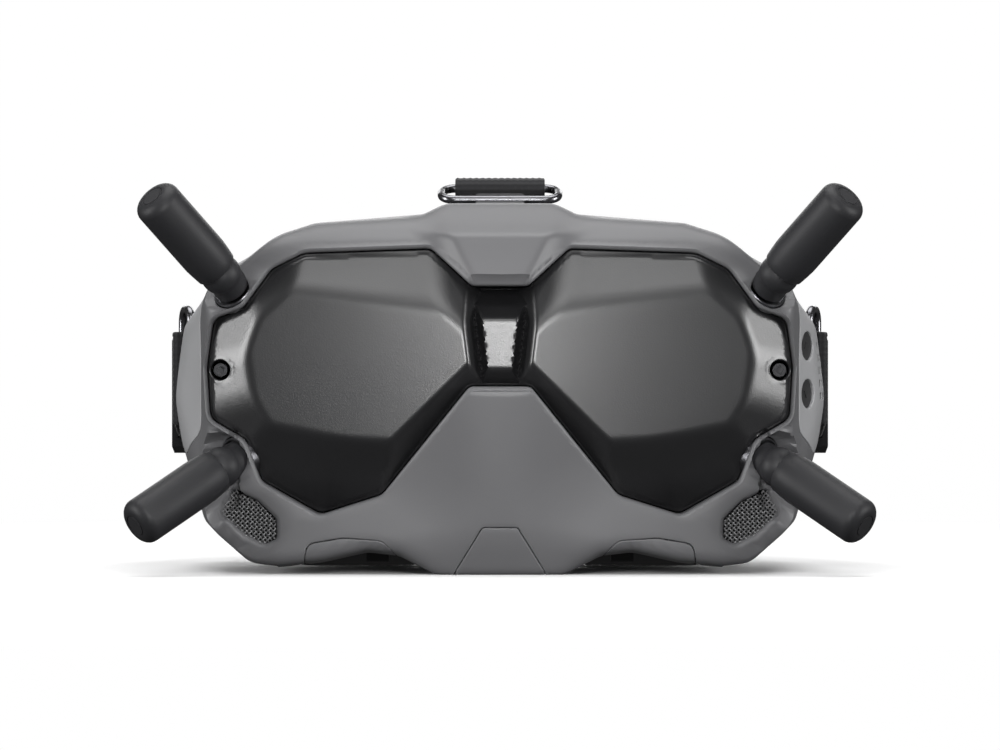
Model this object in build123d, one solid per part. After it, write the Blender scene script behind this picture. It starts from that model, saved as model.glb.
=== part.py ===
from build123d import *
import math
import os

# Video goggles for flying a model aircraft: a moulded housing with a removable front mask, four
# folding antennas, sliding eyepieces, a foam face pad and an elastic headband.
# Millimetres, +Z up. The wearer looks along -Y, so the front of the goggles faces -Y.
# The parts are drawn with y = 0 at the front mask and are moved as one at the end, so that the
# origin lies under the middle of the whole object, on the surface that it stands on.

# ---------------------------------------------------------------- driving dimensions
HALF_WIDTH = 92.0           # half of the housing's width
HEIGHT = 104.0              # housing's height at the brow
WALL = 2.2                  # moulded wall
GAP = 0.3                   # gap at a seam between two mouldings
SPLIT_Y = 42.0              # where the front housing meets the rear housing
HOUSING_BACK = 66.0         # rear face of the rear housing
FOAM_FRONT = 86.0           # where the foam pad meets its carrier
FOAM_BACK = 120.0           # the foam's rearmost point, at the temples
FACE_Y = 93.0               # how far back the foam reaches between the brows
FACE_RADIUS = 118.0         # radius of the face curve cut in the foam

MASK_GAP = 0.25             # gap round the front mask
MASK_WALL = 2.2
TRAY_CLEARANCE = 2.8        # from the mask's outer face to the housing's wall behind it
TRAY_WALL = 2.0

EYE_X = 32.0                # half of the eye distance, at the middle of the slide
EYE_Z = 57.0
EYE_TRAVEL = 3.0            # each eyepiece slides this far either way
LENS_R = 18.5
BARREL_R = 20.5
BARREL_FRONT, BARREL_BACK = 38.0, 68.0
LENS_Y = 62.5
ROD_R = 1.5
ROD_Z = (32.0, 82.0)        # heights of the two guide rods
ROD_Y = 50.0
RUN = 0.05                  # clearance of a running fit, on the radius

CONNECTOR_LEAN = 42.0       # how far the antenna connectors lean forwards, in degrees
MAST_LEAN = 29.0            # how far the masts lean forwards
SOCKET_R = 6.0
MAST_R = 6.7
MAST_TIP = 39.5             # from the boss face to the mast's tip
MAST_ROOM = 1.0             # room round a mast where the housing stands above its boss face
HINGE_S = 7.4               # from the boss face to the fold pin
CHEEK_R = 3.6
TONGUE_R = 5.6
TONGUE_HALF = 4.1           # half thickness of the mast's tongue

MASK_SCREW_X, MASK_SCREW_Z = 78.3, 57.2
CHANNEL_R = 4.0             # channel buttons on the right flank
CHANNEL_Z = (50.5, 64.0)
DISPLAY_ROWS = 5            # small windows of the channel display
DISPLAY_Y = (36.5, 39.5, 42.5)

TOP_BUTTONS = {"record_button": ((-31.5, 54.0), 4.0), "back_button": ((-19.5, 54.0), 3.0)}
BUTTON_PROUD = 0.5
JOYSTICK = (-50.0, 54.0)
JOY_Z = 91.4                # height of the joystick's two pivots
JOY_RIM = 95.6
JOY_HOLE_R = 7.7
KNOB_X = 35.0               # eyepiece knob under the housing
KNOB_Z = (2.2, 5.0)
JACK_Z = 6.2                # underside of the jacks, above the housing's wall
BOTTOM_HOLES = {
    "power_jack": ((-65.0, 57.0), 3.7),
    "audio_jack": ((-54.5, 58.0), 2.8),
    "link_button": ((42.5, 59.0), 1.8),
}
BOTTOM_SLOTS = {"usb_port": ((54.0, 58.0), (9.4, 3.6)), "card_slot": ((65.5, 56.5), (2.4, 12.4))}
BOARD_Y = 31.6
BOARD_SCREWS = ((-53, 42), (53, 42), (-53, 75), (53, 75))
FAN_Y = 50.0
FAN_Z = (84.6, 92.6)

WIRE_R = 1.25               # strap loop wire
TOP_LOOP_HALF = 16.8        # half of the length between a loop's short bars
SIDE_LOOP_HALF = 18.4
LOOP_Z = 56.4               # height of the side loops' middle
SIDE_LOOP_FRONT = (-89.2, 57.8)
SIDE_LOOP_BACK = (-92.0, 67.4)
TOP_LOOP_FRONT = (60.0, 106.4)
TOP_LOOP_BACK = (69.4, 110.0)
STRAP_T = 1.6
STRAP_HALF = 13.4           # half of the headband's width
TOP_STRAP_HALF = 13.0
BAND_Z = (54.9, 13.5)       # height of the headband's middle at the loops and at the back
ADJUSTER_Y = 92.0
RIBBON_STEPS = 24


# ---------------------------------------------------------------- drawing helpers
def closed(points, radius):
    """A closed face with rounded corners from points in a plane."""
    return make_face(FilletPolyline(*points, radius=radius, close=True))


def both(points):
    """Points of a left half, from the top centre line down, with their mirror image."""
    right = [(-x, z) for x, z in reversed(points) if abs(x) > 1e-6]
    return [p for p in points] + right


def front_prism(face, y_from, y_to):
    """A face drawn as seen from the front (x, z), as a solid between two depths."""
    return extrude(Plane.XZ.offset(-y_from) * face, amount=-(y_to - y_from))


def side_prism(face, x_from, x_to):
    """A face drawn as seen from the side (y, z), as a solid between two x."""
    return extrude(Plane.YZ.offset(x_from) * face, amount=x_to - x_from)


def top_prism(face, z_from, z_to):
    """A face drawn as seen from above (x, y), as a solid between two heights."""
    return extrude(Plane.XY.offset(z_from) * face, amount=z_to - z_from)


def block(x0, x1, y0, y1, z0, z1):
    middle = Pos((x0 + x1) / 2, (y0 + y1) / 2, (z0 + z1) / 2)
    return middle * Box(x1 - x0, y1 - y0, z1 - z0)


def rod(start, end, radius):
    """A round bar between two points."""
    a, b = Vector(*start), Vector(*end)
    plane = Plane(origin=(a + b) / 2, z_dir=b - a)
    return plane * Cylinder(radius, (b - a).length)


def mirrored(shape):
    return mirror(shape, Plane.YZ)


def pair(shape):
    """A shape and its mirror image as one group of separate solids."""
    return Compound(children=[*shape.solids(), *mirrored(shape).solids()])


def largest(shape):
    """The main piece of a cut shape, without the slivers that the cuts leave."""
    return shape.solids().sort_by(SortBy.VOLUME)[-1]


def ring_solid(rings):
    """A closed solid through rings of points. The first and last rings are flat."""
    faces = [Face(Wire.make_polygon([Vector(*p) for p in r], close=True)) for r in (rings[0], rings[-1])]
    for a, b in zip(rings, rings[1:]):
        for i in range(len(a)):
            j = (i + 1) % len(a)
            for corner in ((a[i], a[j], b[j]), (a[i], b[j], b[i])):
                faces.append(Face(Wire.make_polygon([Vector(*p) for p in corner], close=True)))
    return Solid(Shell(faces))


# ---------------------------------------------------------------- housing outlines
SILHOUETTE = both([
    (-14.6, HEIGHT), (-21.5, 100.6), (-52, 98.6), (-63, 95.0), (-82, 79.5), (-89, 70),
    (-HALF_WIDTH, 49), (-89.5, 36), (-83.5, 14.5), (-70, 3.0), (-62, 2.2), (-50, 3.6), (-37, 6.6),
    (-28, 5.6), (-17, 0.0),
])
SILHOUETTE_R = [3, 5, 8, 20, 8, 8, 16, 12, 6, 8, 6, 8, 8, 8, 6]
PLAN = [
    (-14, -2), (-45, 5.5), (-62, 10), (-78, 17), (-84, 22), (-89, 32), (-HALF_WIDTH, 44), (-90.8, 50),
    (-87.2, 57), (-86, HOUSING_BACK),
]
PROFILE = [
    (9, 0), (5, 13), (-2, 50), (-2, 83), (4, 95), (19, HEIGHT), (31, HEIGHT), (HOUSING_BACK, 97.5),
    (HOUSING_BACK, 1.6),
]

MASK_OUTLINE = both([
    (-7.8, 80.6), (-19.3, 91.2), (-55, 90), (-64, 85.5), (-72, 74.5), (-80.5, 71.5), (-82.4, 58),
    (-81.4, 43.5), (-71, 37.5), (-67, 26), (-50.5, 16.6), (-33, 22.2), (-8.5, 52.6),
])
MASK_R = [2, 3, 8, 6, 5, 4, 10, 4, 5, 4, 4, 5, 2.5]


def radii(half):
    return half + list(reversed(half))


silhouette = closed(SILHOUETTE, radii(SILHOUETTE_R))
plan = make_face(Polyline(*both(PLAN), close=True))
profile = make_face(Polyline(*PROFILE, close=True))
mask_face = closed(MASK_OUTLINE, radii(MASK_R))

outer = front_prism(silhouette, -10, 70) & top_prism(plan, -5, 110) & side_prism(profile, -100, 100)
inner = (
    front_prism(offset(silhouette, -WALL), -10, 70)
    & top_prism(offset(plan, -WALL, kind=Kind.INTERSECTION), -5, 110)
    & side_prism(offset(profile, -WALL, kind=Kind.INTERSECTION), -100, 100)
)
inner += inner.moved(Pos(0, 2 * WALL, 0))
shell_wall = outer - inner


# ---------------------------------------------------------------- front mask and the tray behind it
def lobe_depth(x):
    """Depth of the mask's flat eye lobe, which turns away a little towards the temple."""
    return 2.0 + 0.09 * (abs(x) - 8.0)


LOBE = [
    (-58.4, 80.2), (-34.8, 77.6), (-16.4, 74.8), (-9.8, 68.6), (-8.6, 58.9), (-30.8, 37.2), (-44.2, 37.8),
    (-64.6, 41.9), (-69.2, 49.3), (-71.1, 61.8), (-67.4, 72.2),
]
# Where each corner's bevel ends: (x, depth, z)
BEVEL_FOOT = [
    (-64, 12, 91), (-41, 9, 93), (-16, 8, 93), (-3, 9, 80), (-3, 9, 55), (-24, 12, 29), (-50, 21, 13),
    (-70, 22, 23), (-85, 18, 40), (-86, 18, 60), (-79, 16, 76),
]
FORM_BACK = 45.0


def mask_form(shift):
    """Everything behind the mask's outer surface, moved back by shift."""
    front = [(x, lobe_depth(x), z) for x, z in LOBE]
    back = [(x, FORM_BACK, z) for x, y, z in BEVEL_FOOT]
    lobe = ring_solid([front, BEVEL_FOOT, back])
    bridge = block(-5, 5, 5, FORM_BACK, 50, 82)
    floor = block(-90, 90, 22, FORM_BACK, 8, 96)
    return (lobe + mirrored(lobe) + bridge + floor).moved(Pos(0, shift, 0))


mask_prism = front_prism(mask_face, -10, 40)
rim_prism = front_prism(offset(mask_face, TRAY_WALL), -10, 31)


# ---------------------------------------------------------------- antennas
def unit(x, y, z):
    return Vector(x, y, z).normalized()


def leaning(degrees_up, lean):
    """A direction on the left that rises by an angle in the front view and leans forwards."""
    up, lean = math.radians(degrees_up), math.radians(lean)
    return unit(-math.cos(up) * math.cos(lean), -math.sin(lean), math.sin(up) * math.cos(lean))


# name: (boss face centre on the left, connector axis, mast direction)
ANTENNAS = {
    "upper": ((-74.5, 15.0, 79.8), leaning(49.5, CONNECTOR_LEAN), leaning(49.5, MAST_LEAN)),
    "lower": ((-73.2, 17.0, 32.4), leaning(-26.8, CONNECTOR_LEAN), leaning(-34.8, MAST_LEAN)),
}


def antenna_frame(name):
    """A plane at the boss face: its z is the connector axis and its x is the fold pin's axis."""
    centre, axis, mast = ANTENNAS[name]
    return Plane(origin=centre, x_dir=axis.cross(mast), z_dir=axis)


def rest_fold(name):
    """How far the mast is folded on its pin at rest, in degrees."""
    centre, axis, mast = ANTENNAS[name]
    return math.degrees(math.acos(axis.dot(mast)))


def boss(radius, deep, proud):
    """A round stub along the connector axis, from deep below the boss face to proud of it."""
    return Pos(0, 0, (proud - deep) / 2) * Cylinder(radius, deep + proud)


def make_socket():
    flange = boss(SOCKET_R, 2.4, -0.4)
    return flange + boss(3.0, 9.0, -2.4) + boss(2.2, 0.4, 1.5)


def across_pin(radius, length):
    """A round bar on the fold pin's axis."""
    return Pos(0, 0, HINGE_S) * Rot(0, 90, 0) * Cylinder(radius, length)


def make_knuckle():
    base = boss(5.5, 0.2, 1.7)
    cone = Pos(0, 0, 6) * Cone(5.5, 6.7, 12)
    cheek = across_pin(CHEEK_R, 14) + block(-7, 7, -CHEEK_R, CHEEK_R, 0.5, HINGE_S)
    slot = block(-TONGUE_HALF - 0.1, TONGUE_HALF + 0.1, -7, 7, 1.7, 14)
    return base + (cone & cheek) - slot - boss(2.25, 1.0, 1.6) - across_pin(1.2, 14)


def make_pin():
    return across_pin(1.2, 10.4)


def make_mast():
    """Mast along +z, folded about the pin afterwards."""
    skirt = Pos(0, 0, 6) * Cone(5.5, MAST_R, 12)
    tube = Pos(0, 0, (12 + MAST_TIP) / 2) * Cylinder(MAST_R, MAST_TIP - 12)
    tube = fillet(tube.edges().group_by(Axis.Z)[-1], 2.4)
    tongue = skirt & block(-TONGUE_HALF, TONGUE_HALF, -9, 9, 0, 14)
    tongue = tongue & (across_pin(TONGUE_R, 14) + block(-9, 9, -9, 9, HINGE_S, 14))
    upper = skirt & block(-9, 9, -9, 9, HINGE_S + CHEEK_R + 0.4, 14)
    lanyard = Pos(0, -MAST_R + 0.6, MAST_TIP - 2.2) * Rot(-45, 0, 0) * Box(2.6, 1.5, 12)
    return tube + upper + tongue - across_pin(1.25, 16) - lanyard


def fold(shape, degrees):
    """Turns a shape about the fold pin."""
    return Pos(0, 0, HINGE_S) * Rot(degrees, 0, 0) * Pos(0, 0, -HINGE_S) * shape


# ---------------------------------------------------------------- housing parts
def side_region(shrink):
    """The side of the housing that the side cover takes."""
    face = closed([(20, 77), (20, 40), (34, 33), (51, 38), (51, 75), (38, 82)], 6)
    return side_prism(offset(face, -shrink) if shrink else face, -100, -83.4 - shrink)


MESH_FACE_POINTS = [
    (-75.5, 24), (-68, 20.5), (-62.8, 15.5), (-62.6, 10),
    (-66, 8.4), (-72, 10.4), (-79, 17.2),
]
mesh_face = closed(MESH_FACE_POINTS, [1.5, 1.5, 1.5, 1.5, 2, 2, 2])
HATCH = [(-4.9, 13.2), (-12.6, 0.6), (-12.6, -3), (12.6, -3), (12.6, 0.6), (4.9, 13.2)]
hatch_face = make_face(Polyline(*HATCH, close=True))
trim_face = closed([(-55.5, -2), (-54, 8.5), (-44, 10.2), (-33, 9.4), (-22, -2)], [1, 3, 8, 4, 1])


def bosses(radius, deep, proud):
    """The same stub at all four antenna places."""
    left = [antenna_frame(n) * boss(radius, deep, proud) for n in ANTENNAS]
    return [*left, *[mirrored(b) for b in left]]



def mask_screw(y_from, y_to, radius):
    """A round bar on the left mask screw's axis."""
    return rod((-MASK_SCREW_X, y_from, MASK_SCREW_Z), (-MASK_SCREW_X, y_to, MASK_SCREW_Z), radius)


def make_main_shell():
    body = shell_wall & block(-100, 100, -10, SPLIT_Y, -5, 110)
    rim = (rim_prism - mask_prism) & outer
    tray = (mask_form(TRAY_CLEARANCE) - mask_form(TRAY_CLEARANCE + TRAY_WALL)) & rim_prism & outer
    body = body - mask_prism + rim + tray
    body -= side_region(0) + mirrored(side_region(0))
    for b in bosses(8.2, 11.0, 0.0):
        body += b
    for b in bosses(SOCKET_R + GAP, 2.6, 20.0) + bosses(3.1, 20.0, 0.0):
        body -= b
    for b in bosses(MAST_R + MAST_ROOM, 0.0, 20.0):
        body -= b
    body -= pair(front_prism(mesh_face, -10, 30))
    body -= front_prism(hatch_face, -10, 16)
    body -= pair(front_prism(trim_face, -10, 30))
    body += pair(mask_screw(17.9, 27, 3.4))
    body -= pair(mask_screw(0, 17.9, 3.9))
    body -= pair(mask_screw(10, 26, 1.3))
    for height in CHANNEL_Z:
        body -= channel_plane(height) * Pos(0, 0, -3.6) * Cylinder(CHANNEL_R + 0.9, 3.2)
    return largest(body)


def make_mask():
    face = offset(mask_face, -MASK_GAP)
    body = (mask_form(0) - mask_form(MASK_WALL)) & front_prism(face, -10, 27)
    for b in bosses(8.6, 11.0, 20.0):
        body -= b
    body += pair(mask_screw(12, 16.6, 3.6) & mask_form(0) & front_prism(face, -10, 40))
    body -= pair(mask_screw(0, 15.4, 2.5))
    body -= pair(mask_screw(0, 30, 1.4))
    return largest(body)


def make_mask_screw():
    head = mask_screw(13.2, 15.4, 1.9)
    socket_plane = Plane(origin=(-MASK_SCREW_X, 13.2, MASK_SCREW_Z), z_dir=(0, 1, 0))
    socket = extrude(socket_plane * RegularPolygon(1.0, 6), amount=1.2)
    return head + mask_screw(15.4, 25, 1.25) - socket


def make_side_cover():
    body = shell_wall & side_region(GAP)
    for b in bosses(8.6, 11.0, 20.0):
        body -= b
    return largest(body)


def facet_plane(start, share, height):
    """A plane on one facet of the right flank: x runs rearwards, y up and z outwards."""
    (x0, y0), (x1, y1) = [(-x, y) for x, y in PLAN[start:start + 2]]
    along = Vector(x1 - x0, y1 - y0, 0)
    origin = Vector(x0, y0, height) + along * share
    return Plane(origin=origin, x_dir=along, z_dir=along.cross(Vector(0, 0, 1)))


def channel_plane(height):
    return facet_plane(4, 0.58, height)


def make_channel_button(height, turn):
    """A round button that stands behind the flank, with a raised arrow for up or down."""
    face = Pos(0, 0, -1.3) * Cylinder(CHANNEL_R, 1.8)
    flange = Pos(0, 0, -3.2) * Cylinder(CHANNEL_R + 0.5, 1.2)
    stem = Pos(0, 0, -2.4) * Cylinder(CHANNEL_R - 1, 1.2)
    arrow = extrude(Rot(0, 0, turn) * Polygon((-1.4, -0.8), (1.4, -0.8), (0, 1.2), align=None), 0.25)
    return channel_plane(height) * (face + flange + stem + Pos(0, 0, -0.4) * arrow)


def make_right_side_cover():
    body = mirrored(make_side_cover())
    for height in CHANNEL_Z:
        body -= channel_plane(height) * Cylinder(CHANNEL_R + 0.15, 12)
    for row in range(DISPLAY_ROWS):
        for y in DISPLAY_Y:
            z = EYE_Z + 3.6 * (row - (DISPLAY_ROWS - 1) / 2)
            body -= block(80, 100, y - 0.7, y + 0.7, z - 1.0, z + 1.0)
    return largest(body)


def make_channel_display():
    """The lamp board behind the small windows in the right side cover."""
    tall = 3.6 * DISPLAY_ROWS + 2
    return facet_plane(5, 0.6, EYE_Z) * Pos(0, 0, -5.8) * Box(8, tall, 1.2)


def make_rear_shell():
    body = shell_wall & block(-100, 100, SPLIT_Y + GAP, HOUSING_BACK, -5, 110)
    body -= side_region(0) + mirrored(side_region(0))
    x, y = JOYSTICK
    body -= top_prism(Pos(x, y) * Circle(JOY_HOLE_R), 85, 110)
    for (x, y), radius in TOP_BUTTONS.values():
        body -= roof_plane(x, y) * Cylinder(radius + 0.15, 10)
    for i in range(-2, 3):
        body -= top_prism(Pos(0, FAN_Y + 3.2 * i) * SlotOverall(18, 1.8), 90, 110)
    knob_slot = Pos(-KNOB_X, ROD_Y) * SlotOverall(2 * EYE_TRAVEL + 5, 4)
    body -= pair(top_prism(knob_slot, -5, 20))
    for (x, y), radius in BOTTOM_HOLES.values():
        body -= top_prism(Pos(x, y) * Circle(radius), -5, 20)
    for (x, y), (wide, deep) in BOTTOM_SLOTS.values():
        body -= top_prism(Pos(x, y) * Rectangle(wide, deep), -5, 20)
    return largest(body)


def make_loop_clip(plane_axis, centre, half, reach):
    """A clip that holds a strap loop's front bar against the housing."""
    x, y, z = centre
    if plane_axis == "Z":
        body = block(x - 2.4, x + reach, y - 3.4, y + 3.4, z - half, z + half)
        hole = rod((x, y, z - 30), (x, y, z + 30), WIRE_R + RUN)
    else:
        body = block(-half, half, y - 3.4, y + 3.4, z - reach, z + 2.4)
        hole = rod((-30, y, z), (30, y, z), WIRE_R + RUN)
    return largest(body - outer - hole)


# ---------------------------------------------------------------- inside the housing
def make_eyepiece_plate():
    plate = inner & block(-100, 100, HOUSING_BACK - 2.2, HOUSING_BACK - 0.2, -5, 110)
    window = SlotCenterToCenter(2 * EYE_TRAVEL, 2 * (BARREL_R + 0.4))
    plate -= pair(front_prism(Pos(-EYE_X, EYE_Z) * window, 50, 80))
    plate -= rod((0, 50, 66), (0, 80, 66), 2.6)
    for z in ROD_Z:
        post = block(-61, -57, ROD_Y - 4, HOUSING_BACK - 2, z - 3.5, z + 3.5)
        plate += pair(post)
        plate -= rod((-59.6, ROD_Y, z), (59.6, ROD_Y, z), ROD_R + 0.02)
    return largest(plate)


def make_rods():
    return [rod((-59.5, ROD_Y, z), (59.5, ROD_Y, z), ROD_R) for z in ROD_Z]


def make_carriage():
    """The left eyepiece's barrel with its guide lugs and the knob under the housing."""
    middle = (-EYE_X, BARREL_FRONT, EYE_Z)
    back = (-EYE_X, BARREL_BACK, EYE_Z)
    body = rod(middle, back, BARREL_R)
    for z, edge in zip(ROD_Z, (EYE_Z - BARREL_R + 1, EYE_Z + BARREL_R - 1)):
        low, high = sorted((z + math.copysign(3.4, z - EYE_Z), edge))
        body += block(-EYE_X - 6, -EYE_X + 6, ROD_Y - 4, ROD_Y + 4, low, high)
    body -= rod((-EYE_X, BARREL_FRONT + 1.6, EYE_Z), (-EYE_X, BARREL_BACK + 1, EYE_Z), LENS_R + 0.1)
    body -= front_prism(Pos(-EYE_X, EYE_Z) * Rectangle(30, 18), BARREL_FRONT - 1, BARREL_FRONT + 2)
    for z in ROD_Z:
        body -= rod((-60, ROD_Y, z), (0, ROD_Y, z), ROD_R + RUN)
    stem = block(-KNOB_X - 1.5, -KNOB_X + 1.5, ROD_Y - 1.5, ROD_Y + 1.5, KNOB_Z[1] - 0.5, ROD_Z[0] - 3)
    knob = block(-KNOB_X - 3.2, -KNOB_X + 3.2, ROD_Y - 4, ROD_Y + 4, *KNOB_Z)
    return body + stem + fillet(knob.edges().group_by(Axis.Z)[0], 0.6)


def make_lens():
    """A lens that bulges on both faces."""
    bulge = 46.0
    half = 4.2
    blank = rod((-EYE_X, LENS_Y - half, EYE_Z), (-EYE_X, LENS_Y + half, EYE_Z), LENS_R)
    front = Pos(-EYE_X, LENS_Y - half + bulge, EYE_Z) * Sphere(bulge)
    back = Pos(-EYE_X, LENS_Y + half - bulge, EYE_Z) * Sphere(bulge)
    return blank & front & back


def make_display():
    return block(-EYE_X - 17, -EYE_X + 17, BARREL_FRONT - 1.7, BARREL_FRONT, EYE_Z - 12, EYE_Z + 12)


CHIPS = (
    (-50, -36, 60, 72), (-30, -16, 60, 72), (-10, 12, 55, 72),
    (20, 34, 60, 74), (38, 52, 58, 70),
)


def make_mainboard():
    y = BOARD_Y
    board = block(-56, 56, y, y + 1.6, 38, 78)
    for x0, x1, z0, z1 in CHIPS:
        board += block(x0, x1, y + 1.5, y + 3.2, z0, z1)
    for x, z in BOARD_SCREWS:
        board -= rod((x, y - 5, z), (x, y + 5, z), 1.2)
    return board


def make_board_screws():
    screws = []
    for x, z in BOARD_SCREWS:
        head = rod((x, BOARD_Y + 1.6, z), (x, BOARD_Y + 2.8, z), 2.0)
        screws.append(head + rod((x, BOARD_Y - 3, z), (x, BOARD_Y + 1.7, z), 1.1))
    return Compound(children=screws)


def make_heat_sink():
    base = block(-56, -22, BOARD_Y - 2, BOARD_Y, 46, 72)
    for i in range(9):
        x = -56 + 4.1 * i
        base += block(x, x + 1.2, 19, BOARD_Y - 1.9, 46, 72)
    return base


def make_fan_housing():
    half = 12.6
    body = block(-half, half, FAN_Y - half, FAN_Y + half, *FAN_Z)
    body -= top_prism(Pos(0, FAN_Y) * Circle(11.6), FAN_Z[0] + 1.4, FAN_Z[1] + 1)
    body -= top_prism(Pos(0, FAN_Y) * (Circle(9.5) - Circle(4.5)), FAN_Z[0] - 1, FAN_Z[0] + 2)
    for angle in (45, 135, 225, 315):
        spoke = Rot(0, 0, angle) * Pos(7, 0, 0) * Box(7, 1.6, 1.4)
        body += Pos(0, FAN_Y, FAN_Z[0] + 0.7) * spoke
    return body + rod((0, FAN_Y, FAN_Z[0] + 1), (0, FAN_Y, FAN_Z[1] - 2), 1.0)


def make_impeller():
    low, high = FAN_Z[0] + 1.8, FAN_Z[1] - 0.4
    middle = (low + high) / 2
    hub = Pos(0, FAN_Y, middle) * Cylinder(4.4, high - low)
    hub -= Pos(0, FAN_Y, low + (FAN_Z[1] - 1.8 - low) / 2) * Cylinder(1.0 + RUN, FAN_Z[1] - 1.8 - low)
    for i in range(7):
        blade = Pos(7.5, 0, 0) * Rot(35, 0, 0) * Box(7.2, 0.9, 5.6)
        hub += Pos(0, FAN_Y, middle) * Rot(0, 0, 360 / 7 * i) * blade
    return hub


# ---------------------------------------------------------------- controls
def roof_plane(x, y):
    """A plane on the housing's roof behind the brow: z is its outward normal."""
    (y0, z0), (y1, z1) = PROFILE[6:8]
    along = Vector(0, y1 - y0, z1 - z0)
    height = z0 + (z1 - z0) * (y - y0) / (y1 - y0)
    return Plane(origin=(x, y, height), x_dir=(1, 0, 0), z_dir=Vector(1, 0, 0).cross(along))


def make_top_button(name):
    (x, y), radius = TOP_BUTTONS[name]
    cap = Pos(0, 0, BUTTON_PROUD - 2.2) * Cylinder(radius, 4.4)
    cap = fillet(cap.edges().group_by(Axis.Z)[-1], 0.5)
    return roof_plane(x, y) * (cap + Pos(0, 0, BUTTON_PROUD - 4.4) * Cylinder(radius + 1, 1.2))


def make_joystick_base():
    x, y = JOYSTICK
    cup = Pos(x, y, (JOY_Z - 4 + JOY_RIM) / 2) * Cylinder(7.6, JOY_RIM - JOY_Z + 4)
    cup -= Pos(x, y, (JOY_Z - 3 + JOY_RIM + 1) / 2) * Cylinder(6.3, JOY_RIM + 1 - JOY_Z + 3)
    return cup - rod((x - 9, y, JOY_Z), (x + 9, y, JOY_Z), 0.7 + RUN)


def make_joystick_gimbal():
    x, y = JOYSTICK
    ring = Pos(x, y, JOY_Z) * (Cylinder(5.4, 2.2) + Rot(0, 90, 0) * Cylinder(0.7, 14.6) - Cylinder(4.1, 3))
    return ring - rod((x, y - 9, JOY_Z), (x, y + 9, JOY_Z), 0.7 + RUN)


def make_joystick_stem():
    x, y = JOYSTICK
    hub = Pos(x, y, JOY_Z) * (Cylinder(3.2, 2.2) + Rot(90, 0, 0) * Cylinder(0.7, 10.4))
    return hub + rod((x, y, JOY_Z), (x, y, JOY_Z + 4.9), 1.6)


def make_joystick_cap():
    x, y = JOYSTICK
    top = JOY_Z + 7.4
    cap = Pos(x, y, top - 2.0) * Cylinder(5.0, 4.0)
    cap = fillet(cap.edges().group_by(Axis.Z)[-1], 0.8)
    cap -= Pos(x, y, top + 8.2) * Sphere(9.0)
    return cap - rod((x, y, JOY_Z), (x, y, JOY_Z + 5.9), 1.6 + RUN)


def make_link_button():
    (x, y), radius = BOTTOM_HOLES["link_button"]
    pip = Pos(x, y, 7.1) * Cylinder(radius - 0.15, 4.2)
    return pip + Pos(x, y, 9.6) * Cylinder(radius + 0.8, 1.2)


def make_round_jack(name, plug_r, wide, tall, pin_r):
    (x, y), radius = BOTTOM_HOLES[name]
    low = JACK_Z
    body = block(x - wide / 2, x + wide / 2, y - wide / 2, y + wide / 2, low, low + tall)
    body += rod((x, y, low - 2.4), (x, y, low + 1), radius - 0.1)
    body -= rod((x, y, low - 3), (x, y, low + tall - 1.5), plug_r)
    if pin_r:
        body += rod((x, y, low), (x, y, low + tall - 1), pin_r)
    return body


def make_socket_port(name, tall):
    (x, y), (wide, deep) = BOTTOM_SLOTS[name]
    wide -= 0.2
    deep -= 0.2
    low = JACK_Z - 2.0
    body = block(x - wide / 2, x + wide / 2, y - deep / 2, y + deep / 2, low, low + 3)
    half_x, half_y = wide / 2, deep / 2
    body += block(x - half_x - 0.8, x + half_x + 0.8, y - half_y - 1, y + half_y + 1, JACK_Z, low + tall)
    mouth = block(x - half_x + 0.5, x + half_x - 0.5, y - half_y + 0.5, y + half_y - 0.5, 0, low + tall - 1)
    return body - mouth


# ---------------------------------------------------------------- face pad and straps
def face_outline(points):
    return closed(both(points), radii([12, 12, 16, 12, 12, 18, 10, 5, 6]))


FRAME_FRONT = [
    (-20, 96.5), (-60, 94), (-79, 81), (-84.5, 62), (-84, 46), (-78, 18), (-64, 4.5), (-24, 4.5),
    (-8, 31),
]
FRAME_BACK = [
    (-20, 96.5), (-58, 93), (-76, 80), (-80, 60), (-79, 42), (-73, 14), (-61, 0), (-23, 0),
    (-8.5, 33),
]
FOAM_INNER = [
    (-18, 84), (-48, 82), (-60, 73), (-65, 57), (-64, 44), (-59, 22), (-46, 14), (-30, 17),
    (-11, 46),
]


def make_face_frame(sign):
    """Half of the soft-touch hood that carries the foam and keeps light out."""
    front = Plane.XZ.offset(-HOUSING_BACK - GAP) * face_outline(FRAME_FRONT)
    back = Plane.XZ.offset(-FOAM_FRONT) * face_outline(FRAME_BACK)
    ring = loft([front, back], ruled=True)
    ring -= front_prism(face_outline(FOAM_INNER), HOUSING_BACK - 5, FOAM_FRONT + 5)
    half = Pos(sign * (HALF_WIDTH + GAP / 2), HOUSING_BACK, 50) * Box(2 * HALF_WIDTH, 100, 150)
    return largest(ring & half)


def make_foam():
    pad = front_prism(face_outline(FRAME_BACK), FOAM_FRONT, FOAM_BACK)
    pad -= front_prism(face_outline(FOAM_INNER), FOAM_FRONT - 5, FOAM_BACK + 5)
    head = Pos(0, FACE_Y + FACE_RADIUS, 50) * Cylinder(FACE_RADIUS, 140)
    return largest(pad - head)


def ribbon(points, thickness, shift=0.0):
    """A strap's face: an even thickness about a smooth line through the points."""
    line = Spline(*points)
    sides = []
    for side in (1, -1):
        edge = []
        for i in range(RIBBON_STEPS + 1):
            here = line @ (i / RIBBON_STEPS)
            along = line % (i / RIBBON_STEPS)
            across = Vector(-along.Y, along.X)
            edge.append(here + across * (side * thickness / 2 + shift))
        sides.append(edge)
    left, right = sides
    return make_face([
        Spline(*left),
        Line(left[-1], right[-1]),
        Spline(*reversed(right)),
        Line(right[0], left[0]),
    ])


HEAD_LINE = [(-94.2, 68), (-93.6, 90), (-88, 122), (-70, 156), (-38, 177), (0, 183)]


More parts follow.
